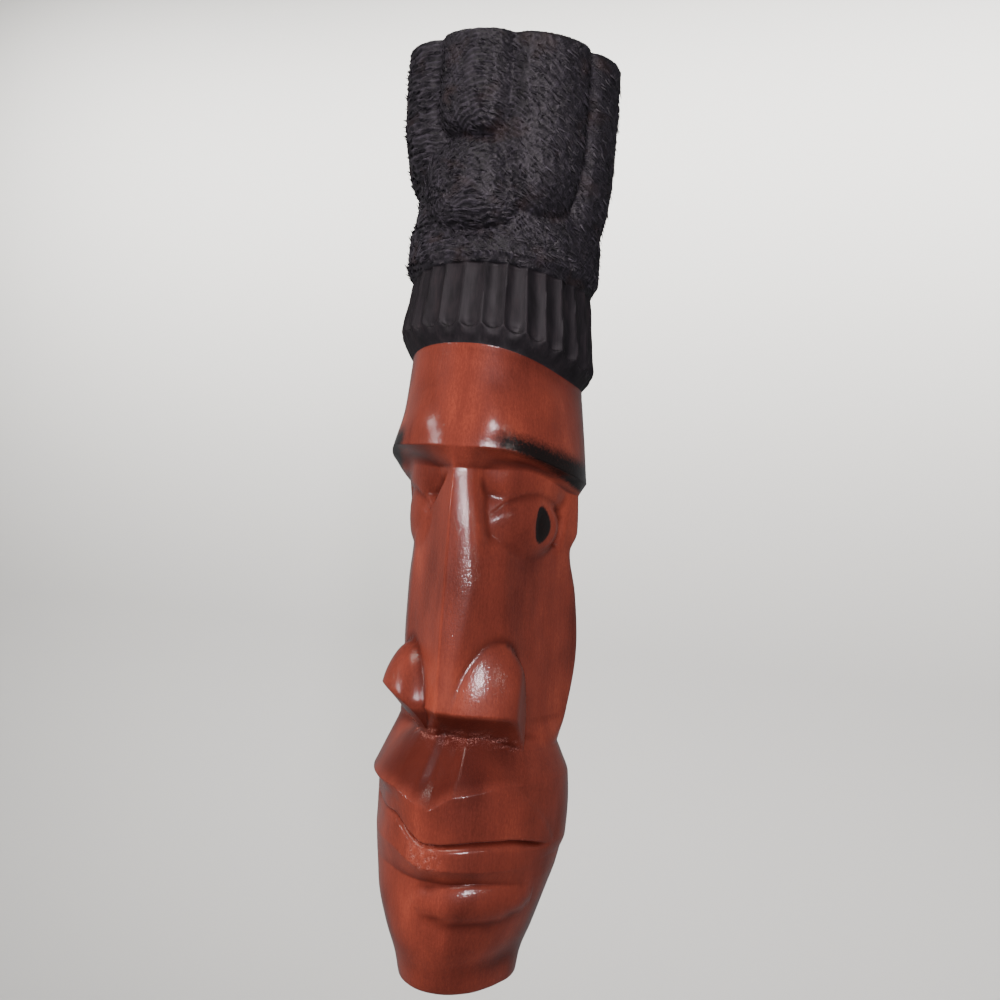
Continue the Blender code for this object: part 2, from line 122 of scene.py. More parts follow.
@dataclass(frozen=True)
class Facet:
    """A plane beside the nose: where it faces, and its reach as a share of the ridge's.

    The shares are given at the nose's root, halfway down and at its tip. Without them the
    plane lies at the log's reach on its side.
    """

    facing: float
    shares: tuple[float, ...] = ()


@dataclass(frozen=True)
class LineBend:
    """How far a carved line climbs on each side, and between which turns it does so."""

    height: float
    left: float
    left_turns: tuple[float, float]
    right: float
    right_turns: tuple[float, float]


@dataclass(frozen=True)
class Lump:
    """A rounded lump: where it is, how far it reaches, and its half sizes.

    Depth and width are measured as reaches. The higher the last value is, the blunter are
    the lump's top and foot.
    """

    turn: float
    height: float
    reach: float
    half_depth: float
    half_width: float
    half_height: float
    square: float


@dataclass(frozen=True)
class Crease:
    """An upright crease between two lobes of hair."""

    turn: float
    foot: float
    depth: float


def ramp(value: Grid, start: float, end: float) -> Grid:
    """Climb smoothly from 0 at the start to 1 at the end."""
    share = np.clip((value - start) / (end - start), 0, 1)
    return share * share * (3 - 2 * share)


def soft_min(a: Grid, b: Grid, blend: float) -> Grid:
    """The smaller of two reaches, rounded where they cross."""
    share = np.clip(0.5 + 0.5 * (b - a) / blend, 0, 1)
    return b + (a - b) * share - blend * share * (1 - share)


def soft_max(a: Grid, b: Grid, blend: float) -> Grid:
    """The larger of two reaches, rounded where they cross."""
    return -soft_min(-a, -b, blend)


def hashed(*keys: Grid) -> Grid:
    """Draw a steady number for each set of whole-number keys.

    Args:
        *keys: Up to three keys.

    Returns:
        Numbers from 0 to 1.
    """
    mixed = sum(key * factor for key, factor in zip(keys, HASH_FACTORS))
    spread = np.sin(mixed) * HASH_SCALE
    return spread - np.floor(spread)


def ripple(across: Grid, along: Grid, wavelength: float, seed: int) -> Grid:
    """Smooth seeded waves, mostly between -1 and 1.

    Args:
        across: Distance one way, in the units of the wavelength.
        along: Distance the other way.
        wavelength: The usual distance between crests.
        seed: Which pattern to draw.

    Returns:
        The height of the waves.
    """
    draw = np.random.default_rng(seed)
    waves, usual_height = 7, 3
    total = np.zeros_like(across)
    for _ in range(waves):
        heading, phase = draw.uniform(0, 2 * math.pi, 2)
        stretch = draw.uniform(0.7, 1.6)
        distance = across * math.cos(heading) + along * math.sin(heading)
        total = total + np.sin(distance * 2 * math.pi / (wavelength * stretch) + phase)
    return total / usual_height


@dataclass(frozen=True)
class CarvedForm:
    """The main form: a reach from the log's axis at every turn and every height.

    Heights are hundredths of the carving's height, and reaches are hundredths of the log's
    radius. Turns are degrees from the front, positive towards +X.
    """

    height: float = 406.5 * MM
    log_radius: float = 49.0 * MM
    back_depth: float = 20.0 * MM
    flute_width: float = 9.85 * MM
    flute_depth: float = 1.7 * MM
    flute_scallop: float = 2.0 * MM
    edge_rounding: float = 1.5 * MM
    top_rounding: float = 2.6 * MM
    pupil_depth: float = 0.9 * MM
    # The front lies a quarter of a flute past an edge between two.
    flute_phase: float = 0.25
    side_turn: float = 67.0
    corner_turn: float = 115.0
    band_reach: float = 88.0
    # Rows on the headband's two lines count as fluted.
    band_slack: float = 0.01
    stations: tuple[Station, ...] = (
        Station(0, 64, 51, 53, 57, ALL_ROUND),
        Station(2.4, 69, 55.5, 54, 60),
        Station(5.6, 77, 66, 65, 69),
        Station(9.0, 79, 74, 75, 78),
        Station(Line.LIP_GROOVE, 79, 77, 82, 87, NOT_BEHIND),
        Station(Line.LIP_EDGE, 90, 79, 84, 91, NOT_BEHIND),
        Station(Line.MOUTH, 90, 77, 86, 95, NOT_BEHIND),
        Station(18.9, 92.5, 77, 87, 96),
        Station(Line.LIP_TOP, 94, 85.5, 84, 94, ("front", "left")),
        Station(24.5, 80, 70.5, 78, 88),
        Station(Line.NOSE_RECESS, 66, 51.5, 71, 82, ALL_ROUND),
        Station(Line.NOSE_FOOT, 93, 62, 66, 88, ("front",)),
        Station(36.5, 93, 64.5, 66, 95),
        Station(42.5, 91.5, 64, 65, 90),
        Station(Line.EYE_FOOT, 90.5, 62, 63, 82),
        Station(49.8, 90, 64, 65, 88),
        Station(Line.BROW_BEVEL_FOOT, 86, 69, 70, 86, ALL_ROUND),
        Station(Line.BROW, 92.5, 88, 89, 93, ALL_ROUND),
        Station(62.0, 88, 79, 84, 89),
        Station(Line.FOREHEAD_TOP, 81, 74, 76, 83, ALL_ROUND),
        Station(Line.BAND_FOOT, 88, 87, 88, 94, ALL_ROUND),
        Station(Line.BAND_TOP, 81, 79, 80, 86, ALL_ROUND),
        Station(Line.HAIR_FOOT, 86, 86, 86, 93, ALL_ROUND),
        Station(80.0, 77, 85, 84, 93),
        Station(84.0, 80, 79, 81, 89),
        Station(Line.TOP, 80, 82, 83, 86, ALL_ROUND),
    )
    left_facets: tuple[Facet, ...] = (Facet(-67), Facet(-45, (0.71, 0.71, 0.71)))
    right_facets: tuple[Facet, ...] = (
        Facet(14, (0.97, 0.97, 0.97)), Facet(29, (0.895, 0.935, 0.9)),
        Facet(47, (0.755, 0.83, 0.76)), Facet(67))
    nose_levels: tuple[float, ...] = (56.0, 43.0, 34.0)
    facet_blend: float = 3.0
    facet_clearance: float = 60.0
    facet_clearance_from: float = 30.0
    # A plane's reach is held from this many degrees aside of where it faces.
    widest_aside: float = 86.0
    ridge_blend: float = 0.3
    bends: tuple[LineBend, ...] = (
        LineBend(Line.CHIN_FOOT, 0, (0, 60), 0, (0, 60)),
        LineBend(Line.LIP_GROOVE, 0.5, (5, 40), 0.2, (10, 30)),
        LineBend(Line.LIP_EDGE, 1.5, (1, 30), 0.5, (55, 85)),
        LineBend(Line.MOUTH, 2.4, (1, 27), 0.5, (2, 30)),
        LineBend(Line.LIP_TOP, 0.3, (0, 50), 1.0, (8, 44)),
        LineBend(Line.NOSE_RECESS, 0.2, (18, 60), -1.2, (30, 65)),
        LineBend(Line.NOSE_FOOT, 0.6, (18, 60), -1.0, (38, 68)),
        LineBend(Line.EYE_FOOT, 0, (0, 60), 0, (0, 60)),
        LineBend(Line.BROW_BEVEL_FOOT, -1.6, (50, 110), -2.1, (44, 110)),
        LineBend(Line.BROW, -2.0, (48, 110), -2.9, (16, 108)),
        LineBend(Line.FOREHEAD_TOP, -1.4, (5, 110), -3.4, (2, 108)),
        LineBend(Line.BAND_FOOT, -1.2, (55, 110), -3.5, (8, 108)),
        LineBend(Line.BAND_TOP, -1.2, (0, 105), -1.4, (10, 105)),
        LineBend(80.0, 0, (0, 60), 0, (0, 60)),
        LineBend(Line.TOP, 0, (0, 60), 0, (0, 60)),
    )
    philtrum_notch: float = 1.6
    philtrum_notch_left: float = 24.0
    philtrum_notch_right: float = 12.0
    mouth_corner_drop: float = 1.1
    mouth_corner_turns: tuple[float, float] = (45, 84)
    hair_lumps: tuple[Lump, ...] = (
        Lump(-92, 100, 99.5, 40, 42, 16.5, 5.0),
        Lump(-49, 100, 99.5, 40, 42, 15.5, 5.0),
        Lump(-4, 100, 100, 38, 47, 10.9, 9.0),
        Lump(44, 100, 100, 38, 48, 19.0, 6.0),
        Lump(93, 100, 101, 40, 46, 22.3, 5.0),
        Lump(-6, 84.9, 97, 40, 50, 5.6, 2.6),
    )
    nose_wings: tuple[Lump, ...] = (
        Lump(-35, 30.6, 93.5, 27, 32, 5.8, 1.2),
        Lump(30, 28.6, 89.8, 18, 44.6, 9.0, 1.8),
    )
    wing_cut_facing: float = 92.0
    wing_cut_distance: float = 62.0
    wing_cut_blend: float = 5.0
    eyes: tuple[Lump, ...] = (
        Lump(-57, 50.2, 69, 19, 38, 4.2, 2.0),
        Lump(57, 50.2, 72, 20, 43, 4.4, 2.0),
        Lump(-57, 55.0, 69, 19, 40, 3.6, 2.6),
        Lump(57, 55.0, 72, 21, 46, 3.6, 2.6),
    )
    eye_blend: float = 6.5
    lump_blend: float = 1.2
    # A lump ends just short of its tip, where it would have no width.
    lump_tip: float = 0.999
    creases: tuple[Crease, ...] = (
        Crease(-71, 84.0, 3.5),
        Crease(-26, 87.0, 3.5),
        Crease(18, 80.5, 3.5),
        Crease(68, 80.0, 3.5),
    )
    crease_half_turn: float = 6.5
    crease_run_out: float = 5.0
    socket_depth: float = 6.5
    socket_edge_left: tuple[tuple[float, float], ...] = ((46.9, 50), (50.2, 25), (54.7, 3))
    socket_edge_right: tuple[tuple[float, float], ...] = ((47.9, 17), (55.8, 9))
    socket_edge_width: float = 8.0
    socket_rear: tuple[float, float] = (90, 98)
    socket_foot: tuple[float, float] = (46.0, 49.0)
    socket_top: tuple[float, float] = (53.2, 55.4)
    pupil_turn: float = 70.0
    pupil_half_turn: float = 13.0
    pupil_height: float = 49.9
    pupil_half_height: float = 2.5
    pupil_steepness: float = 1.5
    fold_turn: float = 95.0
    fold_half_turn: float = 4.0
    fold_depth: float = 4.5
    fold_foot: tuple[float, float] = (46.9, 48.0)
    fold_top: tuple[float, float] = (51.0, 53.0)
    philtrum_depth: float = 4.0
    philtrum_half_turn: float = 13.0
    philtrum_core: float = 5.0
    philtrum_top_turn: float = 6.0
    philtrum_foot: tuple[float, float] = (21.4, 24.0)
    scoop_turn: float = 38.0
    scoop_half_turn: float = 22.0
    scoop_depth: float = 3.5
    scoop_foot: tuple[float, float] = (21.4, 25.0)
    brow_swell: float = 3.2
    brow_swell_turn: float = 22.0
    brow_swell_width: float = 13.0
    brow_swell_foot: tuple[float, float] = (Line.BROW, 60.0)
    brow_swell_top: tuple[float, float] = (60.5, 64.5)
    mouth_depth: float = 7.0
    mouth_step: float = 0.25
    lip_roll: float = 0.65
    mouth_ends: tuple[float, float] = (66, 83)
    mouth_fade: float = 0.5
    mouth_fade_turns: tuple[float, float] = (8, 45)
    chin_boss_depth: float = 6.0
    chin_boss_turn: float = 31.0
    chin_boss_half_turn: float = 44.0
    chin_boss_height: float = 3.9
    chin_boss_crest: float = 0.55
    chin_boss_fullness: float = 0.6

    def through_stations(self, height: Grid, column: str) -> Grid:
        """A curve over height through one column of the stations, sharp at the crisp ones.

        Args:
            height: Heights in front.
            column: The station's field to follow.

        Returns:
            The reach at each height.
        """
        values = [getattr(station, column) for station in self.stations]
        knots = [float(station.height) for station in self.stations]
        slopes = [(values[i + 1] - values[i]) / (knots[i + 1] - knots[i])
                  for i in range(len(knots) - 1)]
        result = np.full_like(height, values[-1])
        for i, slope in enumerate(slopes):
            start_slope = end_slope = slope
            if column not in self.stations[i].crisp:
                before = slopes[i - 1]
                start_slope = 0 if before * slope <= 0 else 2 * before * slope / (before + slope)
            if column not in self.stations[i + 1].crisp:
                after = slopes[i + 1]
                end_slope = 0 if after * slope <= 0 else 2 * after * slope / (after + slope)
            length = knots[i + 1] - knots[i]
            t = (height - knots[i]) / length
            curve = (values[i] * (1 + 2 * t) * (1 - t) ** 2
                     + values[i + 1] * t * t * (3 - 2 * t)
                     + length * (start_slope * t * (1 - t) ** 2 - end_slope * t * t * (1 - t)))
            result = np.where((t >= 0) & (t < 1), curve, result)
        return result

    def round_section(self, turn: Grid, front: Grid, left: Grid, right: Grid,
                      corner: Grid) -> Grid:
        """A smooth section through its reach in front, on each side and at the corners.

        Args:
            turn: Turns from the front.
            front: The reach in front.
            left: The reach on the left side.
            right: The reach on the right side.
            corner: The reach at the back corners.

        Returns:
            The reach at each turn.
        """
        side = np.where(turn < 0, left, right)
        away = np.abs(turn)
        rear = self.corner_turn - self.side_turn
        side_slope = ((side - front) / self.side_turn * rear
                      + (corner - side) / rear * self.side_turn) / self.corner_turn
        t = np.clip(away / self.side_turn, 0, 1)
        fore = (front * (1 + 2 * t) * (1 - t) ** 2 + side * t * t * (3 - 2 * t)
                - self.side_turn * side_slope * t * t * (1 - t))
        t = np.clip((away - self.side_turn) / rear, 0, 1)
        aft = (side * (1 + 2 * t) * (1 - t) ** 2 + corner * t * t * (3 - 2 * t)
               + rear * side_slope * t * (1 - t) ** 2)
        return np.where(away < self.side_turn, fore, aft)

    def nose_section(self, turn: Grid, height: Grid, front: Grid, left: Grid, right: Grid,
                     corner: Grid) -> Grid:
        """A wedge between flat facets, its flanks running on into the cheeks.

        Args:
            turn: Turns from the front.
            height: Heights in front.
            front: The reach in front.
            left: The reach on the left side.
            right: The reach on the right side.
            corner: The reach at the back corners.

        Returns:
            The reach at each turn and height.
        """
        flanks = []
        aside = ramp(np.abs(turn), self.facet_clearance_from, self.side_turn)
        behind = corner + self.facet_clearance * (1 - aside)
        for facets, side in ((self.left_facets, left), (self.right_facets, right)):
            reach = behind
            for facet in facets:
                distance = side
                if facet.shares:
                    distance = front * np.interp(-height, [-level for level in self.nose_levels],
                                                 facet.shares)
                plane = self.plane_reach(distance, turn - facet.facing)
                reach = soft_min(reach, plane, self.facet_blend)
            flanks.append(reach)
        return soft_min(flanks[0], flanks[1], self.ridge_blend)

    def plane_reach(self, distance: Grid, aside: Grid) -> Grid:
        """The reach of a plane at a distance, this many degrees aside of where it faces."""
        return distance / np.cos(np.radians(np.clip(np.abs(aside), 0, self.widest_aside)))

    def lump_reach(self, lump: Lump, turn: Grid, height: Grid) -> Grid:
        """How far a lump reaches out from the log's axis.

        Args:
            lump: The lump.
            turn: Turns from the front.
            height: Heights in front.

        Returns:
            The reach, 0 where the lump isn't.
        """
        share = np.clip(np.abs(height - lump.height) / lump.half_height, 0, self.lump_tip)
        size = np.sqrt(1 - share ** lump.square)
        deep = lump.half_depth * size
        wide = lump.half_width * size
        centre = lump.reach - lump.half_depth
        aside = np.radians(turn - lump.turn)
        a = (np.cos(aside) / deep) ** 2 + (np.sin(aside) / wide) ** 2
        b = np.cos(aside) * centre / deep ** 2
        c = (centre / deep) ** 2 - 1
        inside = b * b - a * c
        reach = (b + np.sqrt(np.clip(inside, 0, None))) / a
        return np.where((inside > 0) & (np.cos(aside) > 0) & (share < self.lump_tip), reach, 0)

    def flute(self, turn: Grid) -> Grid:
        """Where the headband's flutes are.

        Args:
            turn: Turns from the front.

        Returns:
            0 on the edge between two flutes, 1 in the middle of a flute.
        """
        pitch = math.degrees(self.flute_width / (self.band_reach * self.log_radius / 100))
        share = turn / pitch + self.flute_phase
        return 1 - (2 * (share - np.floor(share)) - 1) ** 2

    def bend(self, turn: Grid, height: Grid) -> Grid:
        """How far the carved line at this height has moved when it gets to a turn.

        Args:
            turn: Turns from the front.
            height: Heights in front.

        Returns:
            The climb, in hundredths.
        """
        shifts = []
        for line in self.bends:
            shift = (line.left * ramp(-turn, *line.left_turns)
                     + line.right * ramp(turn, *line.right_turns))
            if line.height == Line.MOUTH:
                shift = shift - self.mouth_corner_drop * ramp(turn, *self.mouth_corner_turns)
            if line.height == Line.LIP_TOP:
                spread = np.where(turn < 0, self.philtrum_notch_left, self.philtrum_notch_right)
                shift = shift - self.philtrum_notch * np.clip(1 - np.abs(turn) / spread, 0, 1)
            if line.height == Line.BAND_FOOT:
                shift = shift - self.flute_scallop / self.height * 100 * self.flute(turn)
            shifts.append(shift)
        result = np.zeros_like(turn)
        for low, high, low_shift, high_shift in zip(self.bends, self.bends[1:],
                                                    shifts, shifts[1:]):
            share = (height - low.height) / (high.height - low.height)
            blend = low_shift + (high_shift - low_shift) * share
            result = np.where((share >= 0) & (share <= 1), blend, result)
        return result

    def carve_nose_wings(self, turn: Grid, height: Grid, reach: Grid) -> Grid:
        """Add the two wings, cut off flush with the slope under the nose.

        Args:
            turn: Turns from the front.
            height: Heights in front.
            reach: The reach so far.

        Returns:
            The reach with the wings.
        """
        below = next(s for s in self.stations if s.height == Line.NOSE_RECESS)
        recess = self.round_section(turn, below.front, below.left, below.right, below.corner)
        rise = self.height / self.log_radius
        underside = recess + rise * (height - Line.NOSE_RECESS)
        outside = self.plane_reach(self.wing_cut_distance, np.abs(turn) - self.wing_cut_facing)
        for wing in self.nose_wings:
            lobe = np.where(height > Line.NOSE_RECESS, self.lump_reach(wing, turn, height), 0)
            lobe = soft_min(lobe, outside, self.wing_cut_blend)
            reach = soft_max(reach, np.minimum(lobe, underside), self.lump_blend)
        return reach

    def carve_eyes(self, turn: Grid, height: Grid, reach: Grid) -> Grid:
        """Hollow the sockets, add eyeballs and lids, and cut the pupils and temple folds.

        Args:
            turn: Turns from the front.
            height: Heights in front.
            reach: The reach so far.

        Returns:
            The reach with the eyes.
        """
        away = np.abs(turn)
        edge = np.where(turn < 0, np.interp(height, *zip(*self.socket_edge_left)),
                        np.interp(height, *zip(*self.socket_edge_right)))
        beside = ramp(away - edge, 0, self.socket_edge_width)
        beside = beside * (1 - ramp(away, *self.socket_rear))
        under_brow = ramp(height, *self.socket_foot) * (1 - ramp(height, *self.socket_top))
        reach = reach - self.socket_depth * beside * under_brow
        for lump in self.eyes:
            reach = soft_max(reach, self.lump_reach(lump, turn, height), self.eye_blend)
        pupil = np.clip(self.pupil_steepness * self.pupil(turn, height), 0, 1)
        reach = reach - self.pupil_depth / self.log_radius * 100 * pupil
        fold = np.clip(1 - np.abs(away - self.fold_turn) / self.fold_half_turn, 0, 1)
        level = ramp(height, *self.fold_foot) * (1 - ramp(height, *self.fold_top))
        return reach - self.fold_depth * fold * level

    def pupil(self, turn: Grid, height: Grid) -> Grid:
        """1 in the middle of a pupil, 0 on its edge and less outside."""
        return 1 - (((np.abs(turn) - self.pupil_turn) / self.pupil_half_turn) ** 2
                    + ((height - self.pupil_height) / self.pupil_half_height) ** 2)

    def carve_mouth(self, turn: Grid, height: Grid, reach: Grid) -> Grid:
        """Cut the groove under the nose and the mouth, and add the boss of the chin.

        Args:
            turn: Turns from the front.
            height: Heights in front.
            reach: The reach so far.

        Returns:
            The reach with the mouth and the chin.
        """
        climb = np.clip((height - Line.LIP_TOP) / (Line.NOSE_RECESS - Line.LIP_TOP), 0, 1)
        from_groove = np.abs(turn - self.philtrum_top_turn * climb)
        groove = 1 - ramp(from_groove, self.philtrum_core, self.philtrum_half_turn)
        below_nose = 1 - ramp(height, Line.NOSE_RECESS, Line.NOSE_FOOT)
        groove = groove * ramp(height, *self.philtrum_foot) * below_nose
        reach = reach - self.philtrum_depth * groove
        scoop = np.clip(1 - ((turn - self.scoop_turn) / self.scoop_half_turn) ** 2, 0, 1)
        scoop = scoop * ramp(height, *self.scoop_foot) * below_nose
        reach = reach - self.scoop_depth * scoop

        over = np.clip(1 - (height - Line.MOUTH) / self.mouth_step, 0, 1)
        under = np.clip(1 - (Line.MOUTH - height) / self.lip_roll, 0, 1)
        mouth = np.where(height > Line.MOUTH, over, under ** 2)
        mouth = mouth * (1 - ramp(np.abs(turn), *self.mouth_ends))
        mouth = mouth * (1 - self.mouth_fade * ramp(-turn, *self.mouth_fade_turns))
        reach = reach - self.mouth_depth * mouth

        aside = (turn - self.chin_boss_turn) / self.chin_boss_half_turn
        down = (Line.LIP_GROOVE - height) / self.chin_boss_height - self.chin_boss_crest
        down = np.where(down < 0, down / self.chin_boss_crest, down / (1 - self.chin_boss_crest))
        boss = np.clip(1 - aside ** 2 - down ** 2, 0, 1) ** self.chin_boss_fullness
        return reach + self.chin_boss_depth * boss

    def carve_forehead(self, turn: Grid, height: Grid, reach: Grid) -> Grid:
        """Swell the forehead over the brow on both sides of the middle.

        Args:
            turn: Turns from the front.
            height: Heights in front.
            reach: The reach so far.

        Returns:
            The reach with the swellings.
        """
        swell = np.exp(-((np.abs(turn) - self.brow_swell_turn) / self.brow_swell_width) ** 2)
        forehead = (ramp(height, *self.brow_swell_foot)
                    * (1 - ramp(height, *self.brow_swell_top)))
        return reach + self.brow_swell * swell * forehead

    def carve_hair(self, turn: Grid, height: Grid, reach: Grid) -> Grid:
        """Add the lobes of hair and the ball, cut the creases and flute the headband.

        Args:
            turn: Turns from the front.
            height: Heights in front.
            reach: The reach so far.

        Returns:
            The reach with the hair and the headband.
        """
        for lump in self.hair_lumps:
            lobe = np.where(height > Line.HAIR_FOOT, self.lump_reach(lump, turn, height), 0)
            reach = soft_max(reach, lobe, self.lump_blend)
        for crease in self.creases:
            cut = np.clip(1 - np.abs(turn - crease.turn) / self.crease_half_turn, 0, 1)
            rise = ramp(height, crease.foot, crease.foot + self.crease_run_out)
            reach = reach - crease.depth * cut * rise
        fluted = ((height >= Line.BAND_FOOT - self.band_slack)
                  & (height <= Line.BAND_TOP + self.band_slack))
        depth = self.flute_depth / self.log_radius * 100
        return reach - np.where(fluted, depth * self.flute(turn), 0)

    def reach(self, turn: Grid, height: Grid) -> Grid:
        """The reach of the carving at turns in degrees and heights in front.

        Args:
            turn: Turns from the front.
            height: Heights in hundredths.

        Returns:
            Reaches in hundredths of the log's radius.
        """
        reaches = [self.through_stations(height, name)
                   for name in ("front", "left", "right", "corner")]
        plain = self.round_section(turn, *reaches)
        wedge = self.nose_section(turn, height, *reaches)
        under_brow = np.clip((Line.BROW - height) / (Line.BROW - Line.BROW_BEVEL_FOOT), 0, 1)
        nosed = ramp(height, Line.NOSE_RECESS, Line.NOSE_FOOT) * under_brow
        reach = plain + (wedge - plain) * nosed
        for carve in (self.carve_nose_wings, self.carve_eyes, self.carve_mouth,
                      self.carve_forehead, self.carve_hair):
            reach = carve(turn, height, reach)
        for distance, rounding in ((height, self.edge_rounding), (100 - height, self.top_rounding)):
            near = np.clip(1 - distance * self.height / 100 / rounding, 0, 1)
            eased = rounding * (1 - np.sqrt(1 - near * near))
            reach = reach - eased / self.log_radius * 100
        return reach


def keep_inside(mesh: bpy.types.Mesh) -> None:
    """Pull every point of a mesh that stands out of the solid's box back onto it.

    Args:
        mesh: The mesh, changed in place.
    """
    points = np.empty(len(mesh.vertices) * 3, dtype=np.float32)
    mesh.vertices.foreach_get("co", points)
    low, high = (np.array(corner, dtype=np.float32) for corner in CAD_BOX)
    mesh.vertices.foreach_set("co", np.clip(points.reshape(-1, 3), low, high).ravel())


@dataclass(frozen=True)
class HairStrokes:
    """Short chopped strokes that cover the hair, lying the way each lobe was worked.

    Lengths are millimetres and turns are degrees. A slope is the rise of a stroke for each
    millimetre round the log, and it steepens by the given amount a millimetre.
    """

    pitch: float = 2.5
    length: float = 9.5
    depth: float = 1.5
    inset: float = 0.45
    round_radius: float = 46.0
    first_turn: float = -110.0
    lobe_edges: tuple[float, ...] = (-71, -26, 18, 68)
    start_slopes: tuple[float, ...] = (0.10, 0.05, -0.12, -0.55, -0.75)
    steepening: tuple[float, ...] = (0.0, 0.0, 0.016, 0.017, 0.012)
    ball_arch: float = 0.022
    ball_arch_over: tuple[float, float] = (326, 350)
    root_slope: float = -0.15
    root_steepening: float = 0.008
    wander: float = 0.8
    wander_length: float = 17.0
    shake: float = 0.4
    shake_length: float = 7.0
    # Sloping strokes are set closer, up to this square of their slope.
    crowding_limit: float = 0.6
    row_shift: float = 7.3
    rows_in_step: int = 5
    least_strength: float = 0.45
    end_strength: float = 0.45
    steep_share: float = 0.3
    run_in: float = 0.22
    run_out: float = 0.8
    fullness: float = 0.8
    grit: float = 0.12
    grit_per_degree: float = 1.7
    grit_per_mm: float = 1.6

    def slope_and_phase(self, turn: Grid, z: Grid, in_ball: Grid,
                        in_root: Grid) -> tuple[Grid, Grid]:
        """Which way the strokes run, and how many strokes up a point lies.

        Args:
            turn: Turns from the front, in degrees.
            z: Heights in millimetres.
            in_ball: 1 on the ball over the headband.
            in_root: 1 on the roll of hair under the lobes.

        Returns:
            The slope of the strokes and the count of strokes from the chin's foot.
        """
        round_way = np.radians(turn) * self.round_radius
        lobe = np.searchsorted(self.lobe_edges, turn)
        starts = np.radians((self.first_turn,) + self.lobe_edges)[lobe] * self.round_radius
        first = np.array(self.start_slopes)[lobe]
        steeper = np.array(self.steepening)[lobe]
        out = round_way - starts
        slope = first - steeper * out
        rise = first * out - steeper * out * out / 2
        arch = self.ball_arch * ramp(z, *self.ball_arch_over)
        slope = np.where(in_ball, -2 * arch * round_way, slope)
        rise = np.where(in_ball, -arch * round_way ** 2, rise)
        slope = np.where(in_root, self.root_slope - self.root_steepening * round_way, slope)
        rise = np.where(in_root, self.root_slope * round_way
                        - self.root_steepening / 2 * round_way ** 2, rise)
        wander = (self.wander * ripple(round_way, z, self.wander_length, seed=3)
                  + self.shake * ripple(round_way, z, self.shake_length, seed=4))
        closer = np.sqrt(1 + np.minimum(slope * slope, self.crowding_limit))
        return slope, (z - rise + wander) * closer / self.pitch

    def cut(self, turn: Grid, z: Grid, in_ball: Grid, in_root: Grid) -> tuple[Grid, Grid]:
        """How deep the strokes go, in millimetres, and how raised each point is left.

        Args:
            turn: Turns from the front, in degrees.
            z: Heights in millimetres.
            in_ball: 1 on the ball over the headband.
            in_root: 1 on the roll of hair under the lobes.

        Returns:
            The depth of the cut, and 1 on the ridges between strokes down to 0 in them.
        """
        slope, phase = self.slope_and_phase(turn, z, in_ball, in_root)
        row = np.floor(phase)
        across = phase - row
        # The factors and offsets of the keys only keep the draws apart.
        shift = self.row_shift * hashed(row * 3 + 1, np.floor(row / self.rows_in_step))
        along = (np.radians(turn) * self.round_radius * np.sqrt(1 + slope * slope)
                 / self.length + shift)
        cell = np.floor(along)
        run = along - cell
        strength = self.least_strength + (1 - self.least_strength) * hashed(row, cell + 5)
        scoop = np.where(across < self.steep_share, across / self.steep_share,
                         (1 - across) / (1 - self.steep_share))
        middle = ramp(run, 0, self.run_in) * (1 - ramp(run, self.run_out, 1.0))
        lengthwise = self.end_strength + (1 - self.end_strength) * middle
        hollow = strength * lengthwise * scoop ** self.fullness
        speck = hashed(np.floor(turn * self.grit_per_degree), np.floor(z * self.grit_per_mm))
        return self.inset + self.depth * hollow + self.grit * (speck - 0.5), 1 - hollow


